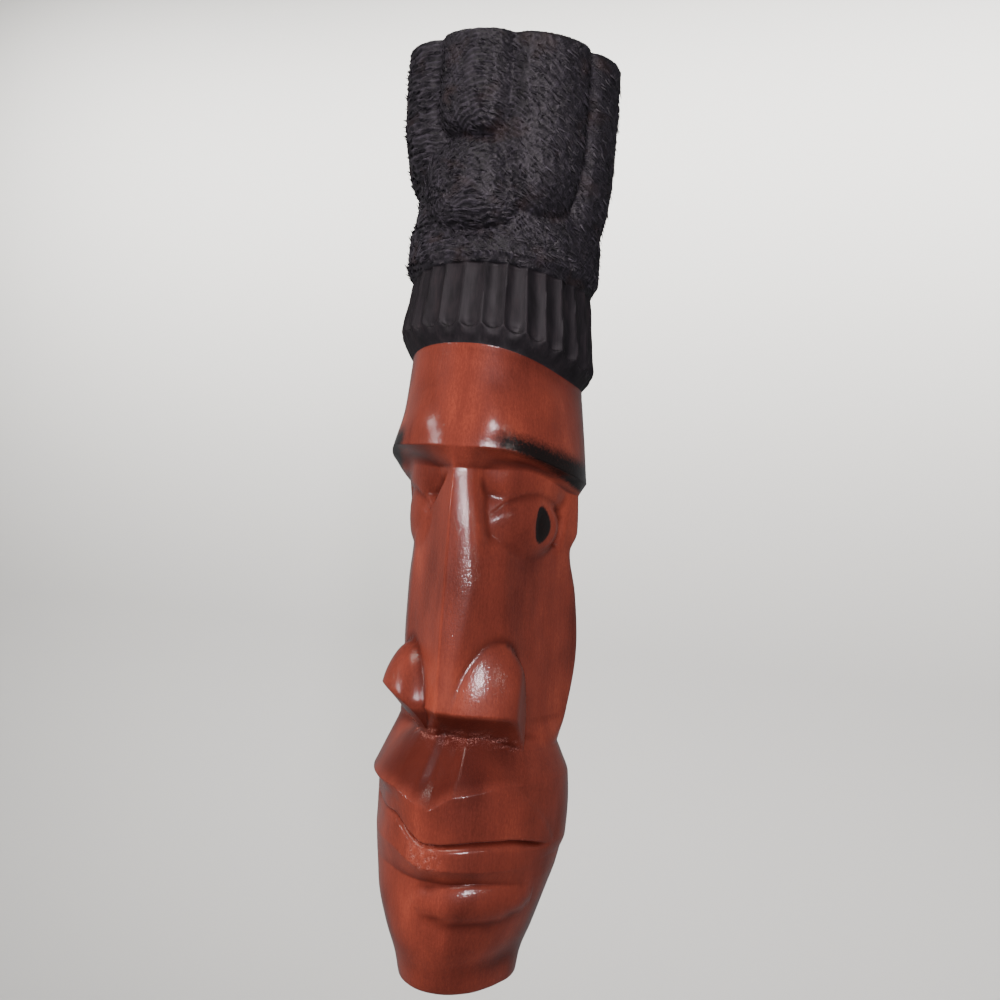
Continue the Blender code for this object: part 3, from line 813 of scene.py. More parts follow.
@dataclass(frozen=True)
class FaceToolMarks:
    """What the gouge and the scraper left on the face.

    Depths and pitches are millimetres, turns are degrees and heights are hundredths.
    """

    round_radius: float = 42.0
    waviness: float = 0.10
    wave_length: float = 11.0
    wave_stretch: float = 0.45
    torn_depth: float = 0.8
    torn_pitch: float = 3.2
    torn_stretch: float = 0.3
    torn_squeeze: float = 1.4
    torn_slant: float = 0.2
    torn_height: float = 27.2
    torn_half_height: float = 0.9
    torn_turn: float = 8.0
    torn_ends: tuple[float, float] = (40, 60)
    chip_depth: float = 0.5
    chip_size: float = 3.0
    chip_height: float = 15.2
    chip_half_heights: tuple[float, float] = (1.0, 2.0)
    chip_turn: float = -3.0
    chip_half_turns: tuple[float, float] = (5, 14)
    chip_paleness: float = 0.8
    full_paleness_depth: float = 0.4
    crease_depth: float = 0.7
    crease_turns: tuple[float, ...] = (22, 33, 48, 65, 80, 92)
    crease_heights: tuple[float, ...] = (50.4, 51.8, 52.8, 53.4, 53.3, 52.6)
    crease_start: tuple[float, float] = (20, 30)
    crease_end: tuple[float, float] = (86, 96)
    crease_steep_side: float = 0.35
    crease_gentle_side: float = 1.2
    pad_step: float = 0.4
    pad_turns: tuple[float, ...] = (46, 55, 66, 76, 84)
    pad_heights: tuple[float, ...] = (21.6, 20.6, 19.4, 18.0, 16.6)
    pad_start: tuple[float, float] = (44, 54)
    pad_end: tuple[float, float] = (84, 92)
    pad_edge_rise: tuple[float, float] = (-0.1, 0.5)
    pad_run_out: tuple[float, float] = (0.6, 4.5)

    def cut(self, turn: Grid, height: Grid, z: Grid) -> Grid:
        """How deep the marks go: faint facets all over, creases, torn grain and chips.

        Args:
            turn: Turns from the front, in degrees.
            height: Heights in front, in hundredths.
            z: Heights in millimetres.

        Returns:
            The depth, in millimetres.
        """
        round_way = np.radians(turn) * self.round_radius
        waves = ripple(round_way, z * self.wave_stretch, self.wave_length, seed=11)
        tear = ripple(round_way * self.torn_stretch,
                      z * self.torn_squeeze - round_way * self.torn_slant,
                      self.torn_pitch, seed=12)
        chipped = ripple(round_way, z, self.chip_size, seed=13)
        lines = self.eyelid_crease(turn, height) + self.pad_edge(turn, height)
        return (self.waviness * (0.5 + 0.5 * waves) + lines
                + self.torn_depth * self.under_nose(turn, height) * np.clip(tear, 0, 1)
                + self.chip_depth * self.at_mouth(turn, height) * np.clip(chipped, 0, 1))

    def under_nose(self, turn: Grid, height: Grid) -> Grid:
        """1 along the crease under the nose, where the chisel tore the grain."""
        across = np.exp(-((height - self.torn_height) / self.torn_half_height) ** 2)
        return across * (1 - ramp(np.abs(turn - self.torn_turn), *self.torn_ends))

    def at_mouth(self, turn: Grid, height: Grid) -> Grid:
        """1 in the middle of the mouth, where the edges of the folds are chipped."""
        across = 1 - ramp(np.abs(height - self.chip_height), *self.chip_half_heights)
        return across * (1 - ramp(np.abs(turn - self.chip_turn), *self.chip_half_turns))

    def paleness(self, turn: Grid, height: Grid, depth: Grid) -> Grid:
        """How much pale wood shows where the grain is torn or chipped.

        Args:
            turn: Turns from the front, in degrees.
            height: Heights in front, in hundredths.
            depth: How deep the marks go, in millimetres.

        Returns:
            1 where the stain is all gone, 0 where it is whole.
        """
        fresh = np.maximum(self.under_nose(turn, height),
                           self.chip_paleness * self.at_mouth(turn, height))
        return fresh * np.clip(depth / self.full_paleness_depth, 0, 1)

    def eyelid_crease(self, turn: Grid, height: Grid) -> Grid:
        """How deep the crease is that arches over each eyeball.

        Args:
            turn: Turns from the front, in degrees.
            height: Heights in front, in hundredths.

        Returns:
            The depth, in millimetres.
        """
        away = np.abs(turn)
        over = height - np.interp(away, self.crease_turns, self.crease_heights)
        run = ramp(away, *self.crease_start) * (1 - ramp(away, *self.crease_end))
        shape = np.where(over > 0, 1 - ramp(over, 0, self.crease_steep_side),
                         1 - ramp(-over, 0, self.crease_gentle_side))
        return self.crease_depth * run * shape

    def pad_edge(self, turn: Grid, height: Grid) -> Grid:
        """How far the cheek steps back outside the pad over the mouth.

        Args:
            turn: Turns from the front, in degrees.
            height: Heights in front, in hundredths.

        Returns:
            The depth, in millimetres.
        """
        beyond = height - np.interp(turn, self.pad_turns, self.pad_heights)
        run = ramp(turn, *self.pad_start) * (1 - ramp(turn, *self.pad_end))
        return (self.pad_step * run * ramp(beyond, *self.pad_edge_rise)
                * (1 - ramp(beyond, *self.pad_run_out)))


@dataclass(frozen=True)
class BandToolMarks:
    """What the gouge left on the headband: ripples, and a scoop at each flute's foot.

    Depths and lengths are millimetres, and heights are hundredths.
    """

    round_radius: float = 43.0
    waviness: float = 0.35
    wave_length: float = 5.0
    wave_stretch: float = 0.3
    scoop_depth: float = 1.3
    scoop_below: float = 0.15
    scoop_half_height: float = 0.5
    scoop_from: float = 0.375
    dark_from: float = 0.467
    dark_full: float = 1.133

    def cut(self, turn: Grid, height: Grid, z: Grid, flute: Grid) -> Grid:
        """How deep the marks go.

        Args:
            turn: Turns from the front, in degrees.
            height: Heights in front, in hundredths.
            z: Heights in millimetres.
            flute: 0 between two flutes, 1 in the middle of one.

        Returns:
            The depth, in millimetres.
        """
        waves = ripple(np.radians(turn) * self.round_radius, z * self.wave_stretch,
                       self.wave_length, seed=21)
        above = height - Line.BAND_FOOT + self.scoop_below
        at_foot = np.exp(-(above / self.scoop_half_height) ** 2)
        in_flute = np.clip((flute - self.scoop_from) / (1 - self.scoop_from), 0, 1)
        return self.waviness * (0.5 + 0.5 * waves) + self.scoop_depth * at_foot * in_flute

    def scoop_shade_and_stain(self, depth: Grid) -> Grid:
        """1 in a deep scoop, for painted shade and pooled stain, 0 in a shallow one."""
        return np.clip((depth - self.dark_from) / (self.dark_full - self.dark_from), 0, 1)


@dataclass(frozen=True)
class ScorchedMarks:
    """The stripes along the brows and the pupils, burnt in with a hot iron.

    Turns are degrees and heights are hundredths.
    """

    foot_turns: tuple[float, ...] = (20, 45, 67, 95)
    foot_heights: tuple[float, ...] = (57.6, 57.2, 56.7, 55.9)
    top_turns: tuple[float, ...] = (20, 30, 60, 100)
    top_heights: tuple[float, ...] = (59.2, 59.5, 59.6, 60.0)
    foot_feather: tuple[float, float] = (-0.6, 0.5)
    top_feather: tuple[float, float] = (-1.5, 1.0)
    left_start: float = 37.0
    right_start: float = 20.0
    start_feather: tuple[float, float] = (-4, 9)
    pupil_turn: float = 67.5
    pupil_height: float = 50.0
    pupil_half_height: float = 2.3
    pupil_front: float = 8.5
    pupil_front_power: float = 3.0
    pupil_rear: float = 10.5
    pupil_rear_power: float = 1.4
    pupil_feather: tuple[float, float] = (0.7, 1.05)

    def brows(self, turn: Grid, height: Grid) -> Grid:
        """Where the stripe along each brow lies.

        Args:
            turn: Turns from the front, in degrees.
            height: Heights in front, in hundredths.

        Returns:
            1 on the stripe, feathered at its edges.
        """
        away = np.abs(turn)
        above_foot = height - np.interp(away, self.foot_turns, self.foot_heights)
        above_top = height - np.interp(away, self.top_turns, self.top_heights)
        past_start = away - np.where(turn < 0, self.left_start, self.right_start)
        stripe = ramp(above_foot, *self.foot_feather) * (1 - ramp(above_top, *self.top_feather))
        return stripe * ramp(past_start, *self.start_feather)

    def pupils(self, turn: Grid, height: Grid) -> Grid:
        """Where the pupils are: full in front and pointed towards the ear.

        Args:
            turn: Turns from the front, in degrees.
            height: Heights in front, in hundredths.

        Returns:
            1 in the pupils.
        """
        aside = np.abs(turn) - self.pupil_turn
        aside = np.where(aside < 0, (np.abs(aside) / self.pupil_front) ** self.pupil_front_power,
                         (np.abs(aside) / self.pupil_rear) ** self.pupil_rear_power)
        above = (height - self.pupil_height) / self.pupil_half_height
        return 1 - ramp(aside + above ** 2, *self.pupil_feather)


def colour(code: str) -> tuple[float, float, float, float]:
    """Turn an sRGB hex colour to linear.

    Args:
        code: The colour, such as "#662e23".

    Returns:
        Red, green, blue and alpha.
    """
    channels = [int(code[i:i + 2], 16) / 255 for i in (1, 3, 5)]
    linear = [c / 12.92 if c <= 0.04045 else ((c + 0.055) / 1.055) ** 2.4 for c in channels]
    return linear[0], linear[1], linear[2], 1.0


def add_node(tree: bpy.types.NodeTree, kind: str, inputs: dict[Any, Any] | None = None,
             **settings: Any) -> bpy.types.Node:
    """Add one node with its settings, input values and links.

    Args:
        tree: The tree that gets the node.
        kind: The node's type.
        inputs: A value or an output socket for each named or numbered input.
        **settings: The node's own properties.

    Returns:
        The node.
    """
    node = tree.nodes.new(kind)
    for name, value in settings.items():
        setattr(node, name, value)
    for key, value in (inputs or {}).items():
        socket = node.inputs[key]
        if isinstance(value, bpy.types.NodeSocket):
            tree.links.new(value, socket)
        else:
            socket.default_value = value
    return node


class Painter:
    """A new material's tree, with the few chains of nodes that every finish here uses."""

    def __init__(self, name: str) -> None:
        """Start an empty material.

        Args:
            name: What the material is called.
        """
        self.material = bpy.data.materials.new(name)
        self.material.use_nodes = True
        self.tree = self.material.node_tree
        self.shader = self.tree.nodes["Principled BSDF"]
        self.place = add_node(self.tree, "ShaderNodeTexCoord").outputs["Object"]

    def node(self, kind: str, inputs: dict[Any, Any] | None = None,
             **settings: Any) -> bpy.types.Node:
        """Add a node to this material."""
        return add_node(self.tree, kind, inputs, **settings)

    def noise(self, size: Size, detail: float = 3.0,
              distortion: float = 0.0) -> bpy.types.NodeSocket:
        """Add noise.

        Args:
            size: The usual blob's size along X, Y and Z, in metres.
            detail: How many finer layers it has.
            distortion: How much it is warped.

        Returns:
            Its value, from 0 to 1.
        """
        scaled = self.node("ShaderNodeMapping", {"Vector": self.place,
                                                 "Scale": tuple(1 / side for side in size)})
        return self.node("ShaderNodeTexNoise", {
            "Vector": scaled.outputs["Vector"], "Scale": 1.0, "Detail": detail,
            "Roughness": 0.6, "Distortion": distortion}).outputs["Fac"]

    def attribute(self, name: str) -> bpy.types.NodeSocket:
        """A number stored on the mesh."""
        return self.node("ShaderNodeAttribute", attribute_name=name).outputs["Fac"]

    def maths(self, operation: str, *values: Any) -> bpy.types.NodeSocket:
        """One sum on sockets or numbers."""
        return self.node("ShaderNodeMath", dict(enumerate(values)),
                         operation=operation).outputs["Value"]

    def spread(self, value: Any, low: float, high: float, to_low: float = 0.0,
               to_high: float = 1.0) -> bpy.types.NodeSocket:
        """Stretch one range onto another, held at its ends."""
        return self.node("ShaderNodeMapRange", {
            "Value": value, "From Min": low, "From Max": high,
            "To Min": to_low, "To Max": to_high}).outputs["Result"]

    def shades(self, value: Any, codes: tuple[str, ...]) -> bpy.types.NodeSocket:
        """Add colours spread evenly over a range.

        Args:
            value: Where on the range, from 0 to 1.
            codes: The colours, from first to last.

        Returns:
            The colour.
        """
        ramp_node = self.node("ShaderNodeValToRGB", {"Fac": value})
        stops = ramp_node.color_ramp.elements
        while len(stops) < len(codes):
            stops.new(0.5)
        for i, code in enumerate(codes):
            stops[i].position = i / (len(codes) - 1)
            stops[i].color = colour(code)
        return ramp_node.outputs["Color"]

    def mix(self, share: Any, first: Any, second: Any) -> bpy.types.NodeSocket:
        """Go from one colour to another."""
        return self.node("ShaderNodeMix", {0: share, 6: first, 7: second},
                         data_type="RGBA").outputs[2]

    def bump(self, height: Any, distance: float, strength: float = 1.0,
             under: Any = None) -> bpy.types.NodeSocket:
        """Raise the surface.

        Args:
            height: How high each place is, from 0 to 1.
            distance: How high 1 is, in metres.
            strength: How much of it shows.
            under: The normal of a coarser relief that this one lies on.

        Returns:
            The normal.
        """
        inputs = {"Height": height, "Distance": distance, "Strength": strength}
        if under is not None:
            inputs["Normal"] = under
        return self.node("ShaderNodeBump", inputs).outputs["Normal"]

    def finish(self, sockets: dict[str, Any]) -> bpy.types.Material:
        """Set or link the shader's sockets.

        Args:
            sockets: A value or an output socket for each named input.

        Returns:
            The material.
        """
        for name, value in sockets.items():
            if isinstance(value, bpy.types.NodeSocket):
                self.tree.links.new(value, self.shader.inputs[name])
            else:
                self.shader.inputs[name].default_value = value
        return self.material


@dataclass(frozen=True)
class VarnishedWood:
    """Pale close-grained hardwood, stained red-brown and varnished: warm and wet-looking.

    The hollows are darkened: painted shade, partly for stain pooled there. The stain thins
    on the edges, and the varnish fills most of the grain, so the highlights are bright and
    a little broken. The clear coat is the varnish, and the stained wood under it hardly
    shines by itself. Where the grain is torn the varnish is scuffed and pale.
    """

    shades: tuple[str, ...] = ("#491f18", "#59281f", "#662e23", "#7a392a")
    # The colour of the painted shade in the hollows, partly for stain pooled there.
    hollow: str = "#34100b"
    edge: str = "#9c4832"
    scorch: str = "#120d0c"
    scuff: str = "#a9746a"
    # The real vessels are 0.1 mm wide and the pores 0.2 mm, both too fine to show in the
    # render. Grain, flecks, scuffs and pores are drawn as coarse as they need to be.
    grain_size: Size = (0.9 * MM, 0.9 * MM, 30 * MM)
    fleck_size: Size = (0.7 * MM, 0.7 * MM, 1.6 * MM)
    scuff_size: Size = (0.5 * MM, 0.5 * MM, 0.5 * MM)
    pore_size: Size = (0.6 * MM, 0.6 * MM, 1.0 * MM)
    figure_size: Size = (9 * MM, 9 * MM, 120 * MM)
    blotch_size: Size = (28 * MM, 28 * MM, 45 * MM)
    brush_size: Size = (1.1 * MM, 1.1 * MM, 1.1 * MM)
    peel_size: Size = (2.4 * MM, 2.4 * MM, 3.2 * MM)
    pore_height: float = 0.1 * MM
    peel_height: float = 0.06 * MM
    wood_roughness: tuple[float, float] = (0.32, 0.4)
    scuffed_roughness: float = 0.25
    varnish_cover: float = 0.75
    varnish_roughness: float = 0.08
    varnish_ior: float = 1.3
    wood_ior: float = 1.4
    wood_shine: float = 0.1

    def build(self) -> bpy.types.Material:
        """Make the material.

        Returns:
            The face's finish.
        """
        p = Painter("varnished_stained_hardwood")
        grain = p.noise(self.grain_size, 4.0)
        figure = p.noise(self.figure_size, 2.0, 0.4)
        blotch = p.noise(self.blotch_size, 2.0)
        fleck = p.noise(self.fleck_size, 3.0)
        tone = p.maths("ADD", p.maths("ADD", p.maths("MULTIPLY", grain, 0.12),
                                      p.maths("MULTIPLY", fleck, 0.2)),
                       p.maths("ADD", p.maths("MULTIPLY", figure, 0.12),
                               p.maths("MULTIPLY", blotch, 0.56)))
        base = p.shades(p.spread(tone, 0.36, 0.64), self.shades)
        cavity = p.attribute("cavity")
        # Painted shade: darker in the hollows, partly for stain pooled there.
        base = p.mix(p.spread(cavity, 0.1, 1.0, 0.0, 0.72), base, colour(self.hollow))
        base = p.mix(p.spread(cavity, -0.2, -1.0, 0.0, 0.6), base, colour(self.edge))
        brush = p.noise(self.brush_size, 4.0)
        scorched = p.maths("ADD", p.attribute("scorched"),
                           p.spread(brush, 0.3, 0.7, -0.18, 0.18))
        base = p.mix(p.spread(scorched, 0.15, 0.9), base, colour(self.scorch))
        scuffs = p.noise(self.scuff_size, 3.0)
        torn = p.maths("MULTIPLY", p.attribute("torn"), p.spread(scuffs, 0.5, 0.62))
        base = p.mix(p.maths("MULTIPLY", torn, 0.75), base, colour(self.scuff))
        peel = p.bump(p.noise(self.peel_size, 1.0), self.peel_height, 0.8)
        normal = p.bump(p.noise(self.pore_size, 2.0), self.pore_height, 0.8, peel)
        rough = p.maths("ADD", p.spread(blotch, 0.3, 0.7, *self.wood_roughness),
                        p.maths("MULTIPLY", torn, self.scuffed_roughness))
        return p.finish({
            "Base Color": base, "Roughness": rough, "IOR": self.wood_ior, "Normal": normal,
            "Specular IOR Level": self.wood_shine, "Coat Weight": self.varnish_cover,
            "Coat Roughness": self.varnish_roughness, "Coat IOR": self.varnish_ior,
            "Coat Normal": normal})


@dataclass(frozen=True)
class ScorchedHair:
    """Wood chopped all over and scorched black: a dull char with glints on the fresh lips.

    Where the flame went over it quickly, a little brown still shows through. The lips are
    painted paler, partly for thinner char and partly as a painted highlight on the ridges.
    """

    shades: tuple[str, ...] = ("#0d0d0f", "#19181c", "#272529")
    # Paler char on the fresh lips, and a painted highlight that picks out the ridges.
    lip_char_and_highlight: str = "#403d45"
    bare: str = "#2c1d17"
    soot_size: Size = (6 * MM, 6 * MM, 6 * MM)
    # Charred fibres are under 0.1 mm wide, so they are drawn several times as coarse.
    fibre_size: Size = (0.5 * MM, 0.5 * MM, 2.4 * MM)
    crumb_size: Size = (1.1 * MM, 1.1 * MM, 1.1 * MM)
    bare_size: Size = (16 * MM, 16 * MM, 12 * MM)
    fibre_height: float = 0.12 * MM
    crumb_height: float = 0.25 * MM
    roughness: tuple[float, float] = (0.4, 0.68)
    ior: float = 1.5
    shine: float = 0.24

    def build(self) -> bpy.types.Material:
        """Make the material.

        Returns:
            The hair's finish.
        """
        p = Painter("scorched_chopped_wood")
        soot = p.noise(self.soot_size, 4.0)
        fibre = p.noise(self.fibre_size, 3.0)
        base = p.shades(p.spread(p.maths("ADD", soot, fibre), 0.75, 1.3), self.shades)
        # Painted highlight: the ridges are paler so they show in any light, over the paler char of
        # the lips.
        lips = p.maths("MULTIPLY", p.spread(p.attribute("ridge"), 0.68, 1.0), 0.6)
        base = p.mix(lips, base, colour(self.lip_char_and_highlight))
        warm = p.maths("MULTIPLY", p.spread(p.noise(self.bare_size, 2.0), 0.56, 0.75), 0.4)
        base = p.mix(warm, base, colour(self.bare))
        crumbs = p.bump(p.noise(self.crumb_size, 3.0), self.crumb_height, 0.8)
        normal = p.bump(fibre, self.fibre_height, 0.9, crumbs)
        return p.finish({
            "Base Color": base, "Roughness": p.spread(fibre, 0.35, 0.7, *self.roughness),
            "IOR": self.ior, "Specular IOR Level": self.shine, "Normal": normal})


@dataclass(frozen=True)
class BlackenedBand:
    """Smooth gouged wood, stained nearly black and varnished: satin, with soft long glints.

    The edges between the flutes are rubbed, so some red-brown shows on them.
    """

    shades: tuple[str, ...] = ("#0f0e10", "#171518", "#201c1e")
    thin: str = "#2b1c1a"
    # The grain is drawn coarser than its real 0.1 mm, which is too fine to show.
    grain_size: Size = (0.8 * MM, 0.8 * MM, 18 * MM)
    blotch_size: Size = (7 * MM, 7 * MM, 14 * MM)
    grain_height: float = 0.08 * MM
    blotch_height: float = 0.3 * MM
    roughness: tuple[float, float] = (0.52, 0.66)
    ior: float = 1.4
    shine: float = 0.3

    def build(self) -> bpy.types.Material:
        """Make the material.

        Returns:
            The headband's finish.
        """
        p = Painter("varnished_blackened_wood")
        grain = p.noise(self.grain_size, 4.0)
        blotch = p.noise(self.blotch_size, 3.0)
        base = p.shades(p.spread(p.maths("ADD", grain, blotch), 0.75, 1.3), self.shades)
        edge = p.spread(p.attribute("cavity"), -0.05, -0.6, 0.0, 0.6)
        base = p.mix(edge, base, colour(self.thin))
        normal = p.bump(grain, self.grain_height, 0.7, p.bump(blotch, self.blotch_height, 0.4))
        return p.finish({
            "Base Color": base, "Roughness": p.spread(blotch, 0.35, 0.7, *self.roughness),
            "IOR": self.ior, "Specular IOR Level": self.shine, "Normal": normal})


@dataclass(frozen=True)
class SawnBack:
    """The flat back, sawn lengthwise, thinly stained and left unvarnished: dull and ribbed.

    The saw's marks run across the grain.
    """

    shades: tuple[str, ...] = ("#5a2f20", "#744029", "#8b5436")
    # The grain is drawn coarser than its real 0.1 mm, which is too fine to show.
    grain_size: Size = (1.0 * MM, 1.0 * MM, 40 * MM)
    figure_size: Size = (9 * MM, 9 * MM, 120 * MM)
    saw_size: Size = (60 * MM, 60 * MM, 2.6 * MM)
    saw_height: float = 0.35 * MM
    grain_height: float = 0.15 * MM
    roughness: tuple[float, float] = (0.55, 0.72)
    ior: float = 1.5

    def build(self) -> bpy.types.Material:
        """Make the material.

        Returns:
            The back's finish.
        """
        p = Painter("sawn_stained_wood")
        grain = p.noise(self.grain_size, 4.0, 0.3)
        figure = p.noise(self.figure_size, 2.0, 0.5)
        base = p.shades(p.spread(p.maths("ADD", grain, figure), 0.7, 1.3), self.shades)
        saw = p.noise(self.saw_size, 2.0, 0.2)
        normal = p.bump(saw, self.saw_height, 0.7, p.bump(grain, self.grain_height, 0.6))
        return p.finish({
            "Base Color": base, "Roughness": p.spread(saw, 0.3, 0.7, *self.roughness),
            "IOR": self.ior, "Normal": normal})


@dataclass
class CarvedFace:
    """The whole carving as one closed skin, with its tool marks.

    Heights are hundredths of the carving's height and turns are degrees.
    """

    form: CarvedForm = CarvedForm()
    strokes: HairStrokes = HairStrokes()
    marks: FaceToolMarks = FaceToolMarks()
    band_marks: BandToolMarks = BandToolMarks()
    scorching: ScorchedMarks = ScorchedMarks()
    columns: int = 245
    edge_step: float = 0.35 * MM
    # Rows within this many edge steps of a crisp line give way to the line's own rows.
    line_clearance: float = 1.5
    # Up to each height in front, the rows lie at most so many millimetres apart.
    row_spacings: tuple[tuple[float, float], ...] = (
        (11.8, 2.6), (22.6, 1.1), (30.6, 1.2), (38.5, 1.5), (45.5, 3.5), (57.8, 1.1),
        (67.4, 2.8), (78.0, 1.25), (100.0, 0.67))
    rim_shares: tuple[float, ...] = (0.0, 0.05, 0.15, 0.3, 0.5, 0.75)
    cap_shares: tuple[float, ...] = (0.985, 0.93, 0.8, 0.6, 0.35, 0.12)
    back_corner_limit: float = 0.96
    hair_start: tuple[float, float] = (Line.BAND_TOP + 0.1, Line.BAND_TOP + 0.4)
    ball_margin: float = 0.6 * MM
    ball_foot: float = 78.2
    root_top: float = 79.6
    root_wave: float = 0.35
    root_waves_a_turn: float = 4.0
    # Shares of the way round to the back's edge.
    marks_fade: tuple[float, float] = (0.95, 1.0)
    face_end: tuple[float, float] = (67.5, 68.0)
    band_start: tuple[float, float] = (68.0, 68.6)
    muzzle_foot: tuple[float, float] = (21.4, 23.0)
    muzzle_top: tuple[float, float] = (29.4, 30.2)
    muzzle_turn: float = -10.0
    muzzle_half_turns: tuple[float, float] = (25, 80)
    hollow_passes: int = 14
    full_hollow: float = 0.7 * MM
    sawn_depth: float = 0.5 * MM
    sawn_pitch: float = 9.0 * MM
    sawn_middle: float = 0.3 * MM
    sharp_angle: float = 58.0
    burr_top: tuple[float, float] = (98.4, 99.0)
    burr_turn_limit: float = 106.0
    burr_room: float = 0.9 * MM

    def row_heights(self) -> Grid:
        """Heights in front of the mesh's rows, closer at the crisp lines.

        Returns:
            The heights, in hundredths.
        """
        rows = [0.0]
        for top, spacing in self.row_spacings:
            steps = math.ceil((top - rows[-1]) * self.form.height / MM / 100 / spacing)
            rows += list(np.linspace(rows[-1], top, steps + 1)[1:])
        step = self.edge_step / self.form.height * 100
        lines = [float(s.height) for s in self.form.stations if s.crisp and 0 < s.height < 100]
        lines.append(Line.MOUTH + self.form.mouth_step)
        kept = [row for row in rows
                if min(abs(row - line) for line in lines) > self.line_clearance * step]
        near = [line + step * side for line in lines for side in (-1, 0, 1)]
        roundings = ((0, self.form.edge_rounding), (100, -self.form.top_rounding))
        rim = [side + rounding / self.form.height * 100 * share
               for side, rounding in roundings for share in self.rim_shares]
        return np.unique(np.round(kept + near + rim, 5))

    def grid(self) -> dict[str, Grid]:
        """Work out every point of the wall and what is known about it.

        Returns:
            Grids by name, with a row for each height and a column for each turn: turn,
            height, reach (metres), rise (metres above the chin's foot), cavity (painted
            shade in the hollows, wear on the edges), ridge, scorched, torn and slope.
        """
        form = self.form
        heights = self.row_heights()
        corner = form.reach(np.full_like(heights, form.corner_turn), heights)
        corner = corner * form.log_radius / 100
        behind = np.minimum(form.back_depth / corner, self.back_corner_limit)
        corner_turns = 90 + np.degrees(np.arcsin(behind))
        turn = corner_turns[:, None] * np.linspace(-1, 1, self.columns)[None, :]
        height = np.repeat(heights[:, None], self.columns, axis=1)
        step = self.edge_step / form.height * 100
        # The mean of three close heights takes the hardness off the crisp lines.
        reach = sum(weight * form.reach(turn, np.clip(height + shift, 0, 100))
                    for shift, weight in ((-step, 0.25), (0.0, 0.5), (step, 0.25)))
        reach = reach * form.log_radius / 100
        reach[:, 0] = reach[:, -1] = corner
        rise = (height + form.bend(turn, height)) * form.height / 100
        return self.add_relief({"turn": turn, "height": height, "reach": reach, "rise": rise})

    def add_relief(self, grid: dict[str, Grid]) -> dict[str, Grid]:
        """Cut the tool marks into the wall and note painted shade, stain and scorching.

        Args:
            grid: The plain wall.

        Returns:
            The same grids with the marks cut and the notes added.
        """
        form = self.form
        turn, height, rise = grid["turn"], grid["height"], grid["rise"] / MM
        in_hair = ramp(height, *self.hair_start)
        ball_reach = form.lump_reach(form.hair_lumps[-1], turn, height) * form.log_radius / 100
        in_ball = (ball_reach > grid["reach"] - self.ball_margin) & (height > self.ball_foot)
        waves = self.root_wave * np.sin(np.radians(turn * self.root_waves_a_turn))
        in_root = (height < self.root_top + waves) & ~in_ball
        hair_depth, ridge = self.strokes.cut(turn, rise, in_ball, in_root)
        face_depth = self.marks.cut(turn, height, rise)
        band_depth = self.band_marks.cut(turn, height, rise, form.flute(turn))
        on_face = 1 - ramp(height, *self.face_end)
        on_band = ramp(height, *self.band_start) * (1 - in_hair)
        fade = 1 - ramp(np.abs(turn) / np.abs(turn[:, :1]), *self.marks_fade)
        cut = (hair_depth * in_hair + face_depth * on_face + band_depth * on_band) * fade
        grid["reach"] = grid["reach"] - cut * MM
        grid["ridge"] = ridge * in_hair
        # Painted shade, partly for stain pooled there: darker between the nose and the lip
        # and in the flutes' scoops.
        muzzle = (ramp(height, *self.muzzle_foot) * (1 - ramp(height, *self.muzzle_top))
                  * (1 - ramp(np.abs(turn - self.muzzle_turn), *self.muzzle_half_turns)))
        stained = np.maximum(muzzle, on_band * self.band_marks.scoop_shade_and_stain(band_depth))
        grid["cavity"] = np.maximum(self.cavity(grid["reach"]), stained)
        grid["torn"] = self.marks.paleness(turn, height, face_depth)
        grid["scorched"] = np.maximum(self.scorching.brows(turn, height),
                                      self.scorching.pupils(turn, height))
        grid["slope"] = self.strokes.slope_and_phase(turn, rise, in_ball, in_root)[0]
        return grid

    def cavity(self, reach: Grid) -> Grid:
        """1 deep in a hollow, -1 on a sharp edge, 0 where the surface is plain.

        Args:
            reach: The reach of every point, in metres.

        Returns:
            How hollow each point is: the hollows get painted shade and the edges wear.
        """
        blurred = reach.copy()
        for _ in range(self.hollow_passes):
            padded = np.pad(blurred, 1, mode="edge")
            blurred = (padded[:-2, 1:-1] + padded[2:, 1:-1] + padded[1:-1, :-2]
                       + padded[1:-1, 2:] + 2 * padded[1:-1, 1:-1]) / 6
        return np.clip((blurred - reach) / self.full_hollow, -1, 1)

    def loops(self, grid: dict[str, Grid]) -> tuple[Grid, dict[str, Grid]]:
        """Turn the wall and the two end faces into closed loops of points.

        Args:
            grid: The finished wall.

        Returns:
            Points as loops, columns and coordinates, and each note in the same order.
        """
        form = self.form
        turn = np.radians(grid["turn"])
        wall = np.stack([grid["reach"] * np.sin(turn),
                         -form.back_depth - grid["reach"] * np.cos(turn),
                         grid["rise"] - form.height / 2], axis=2)
        wall[:, 0, 1] = wall[:, -1, 1] = 0.0
        wall[:, :, 1] = np.minimum(wall[:, :, 1], 0.0)
        middle = np.array([0.0, -form.back_depth, 0.0])
        below = [wall[0] * share + middle * (1 - share) for share in reversed(self.cap_shares)]
        above = [wall[-1] * share + middle * (1 - share) for share in self.cap_shares]
        for ring in below:
            ring[:, 2] = -form.height / 2
        # The rim stays level, and the rest of the top is rough from the saw.
        for i, ring in enumerate(above):
            sawn = 0.5 + 0.5 * ripple(ring[:, 0] / MM, ring[:, 1] / MM, self.sawn_pitch / MM,
                                      seed=31)
            ring[:, 2] = form.height / 2 - (self.sawn_depth * sawn if i else 0.0)
        low, high = CAD_BOX
        grid["room"] = np.minimum.reduce([wall[:, :, 0] - low.x, high.x - wall[:, :, 0],
                                          wall[:, :, 1] - low.y])
        notes = {}
        for name in FINISH_NOTES + ("slope", "turn", "height", "room"):
            first = np.repeat(grid[name][:1], len(below), axis=0)
            last = np.repeat(grid[name][-1:], len(above), axis=0)
            if name in FINISH_NOTES:
                first, last = first * 0, last * 0
            notes[name] = np.concatenate([first, grid[name], last])
        return np.concatenate([below, wall, above]), notes

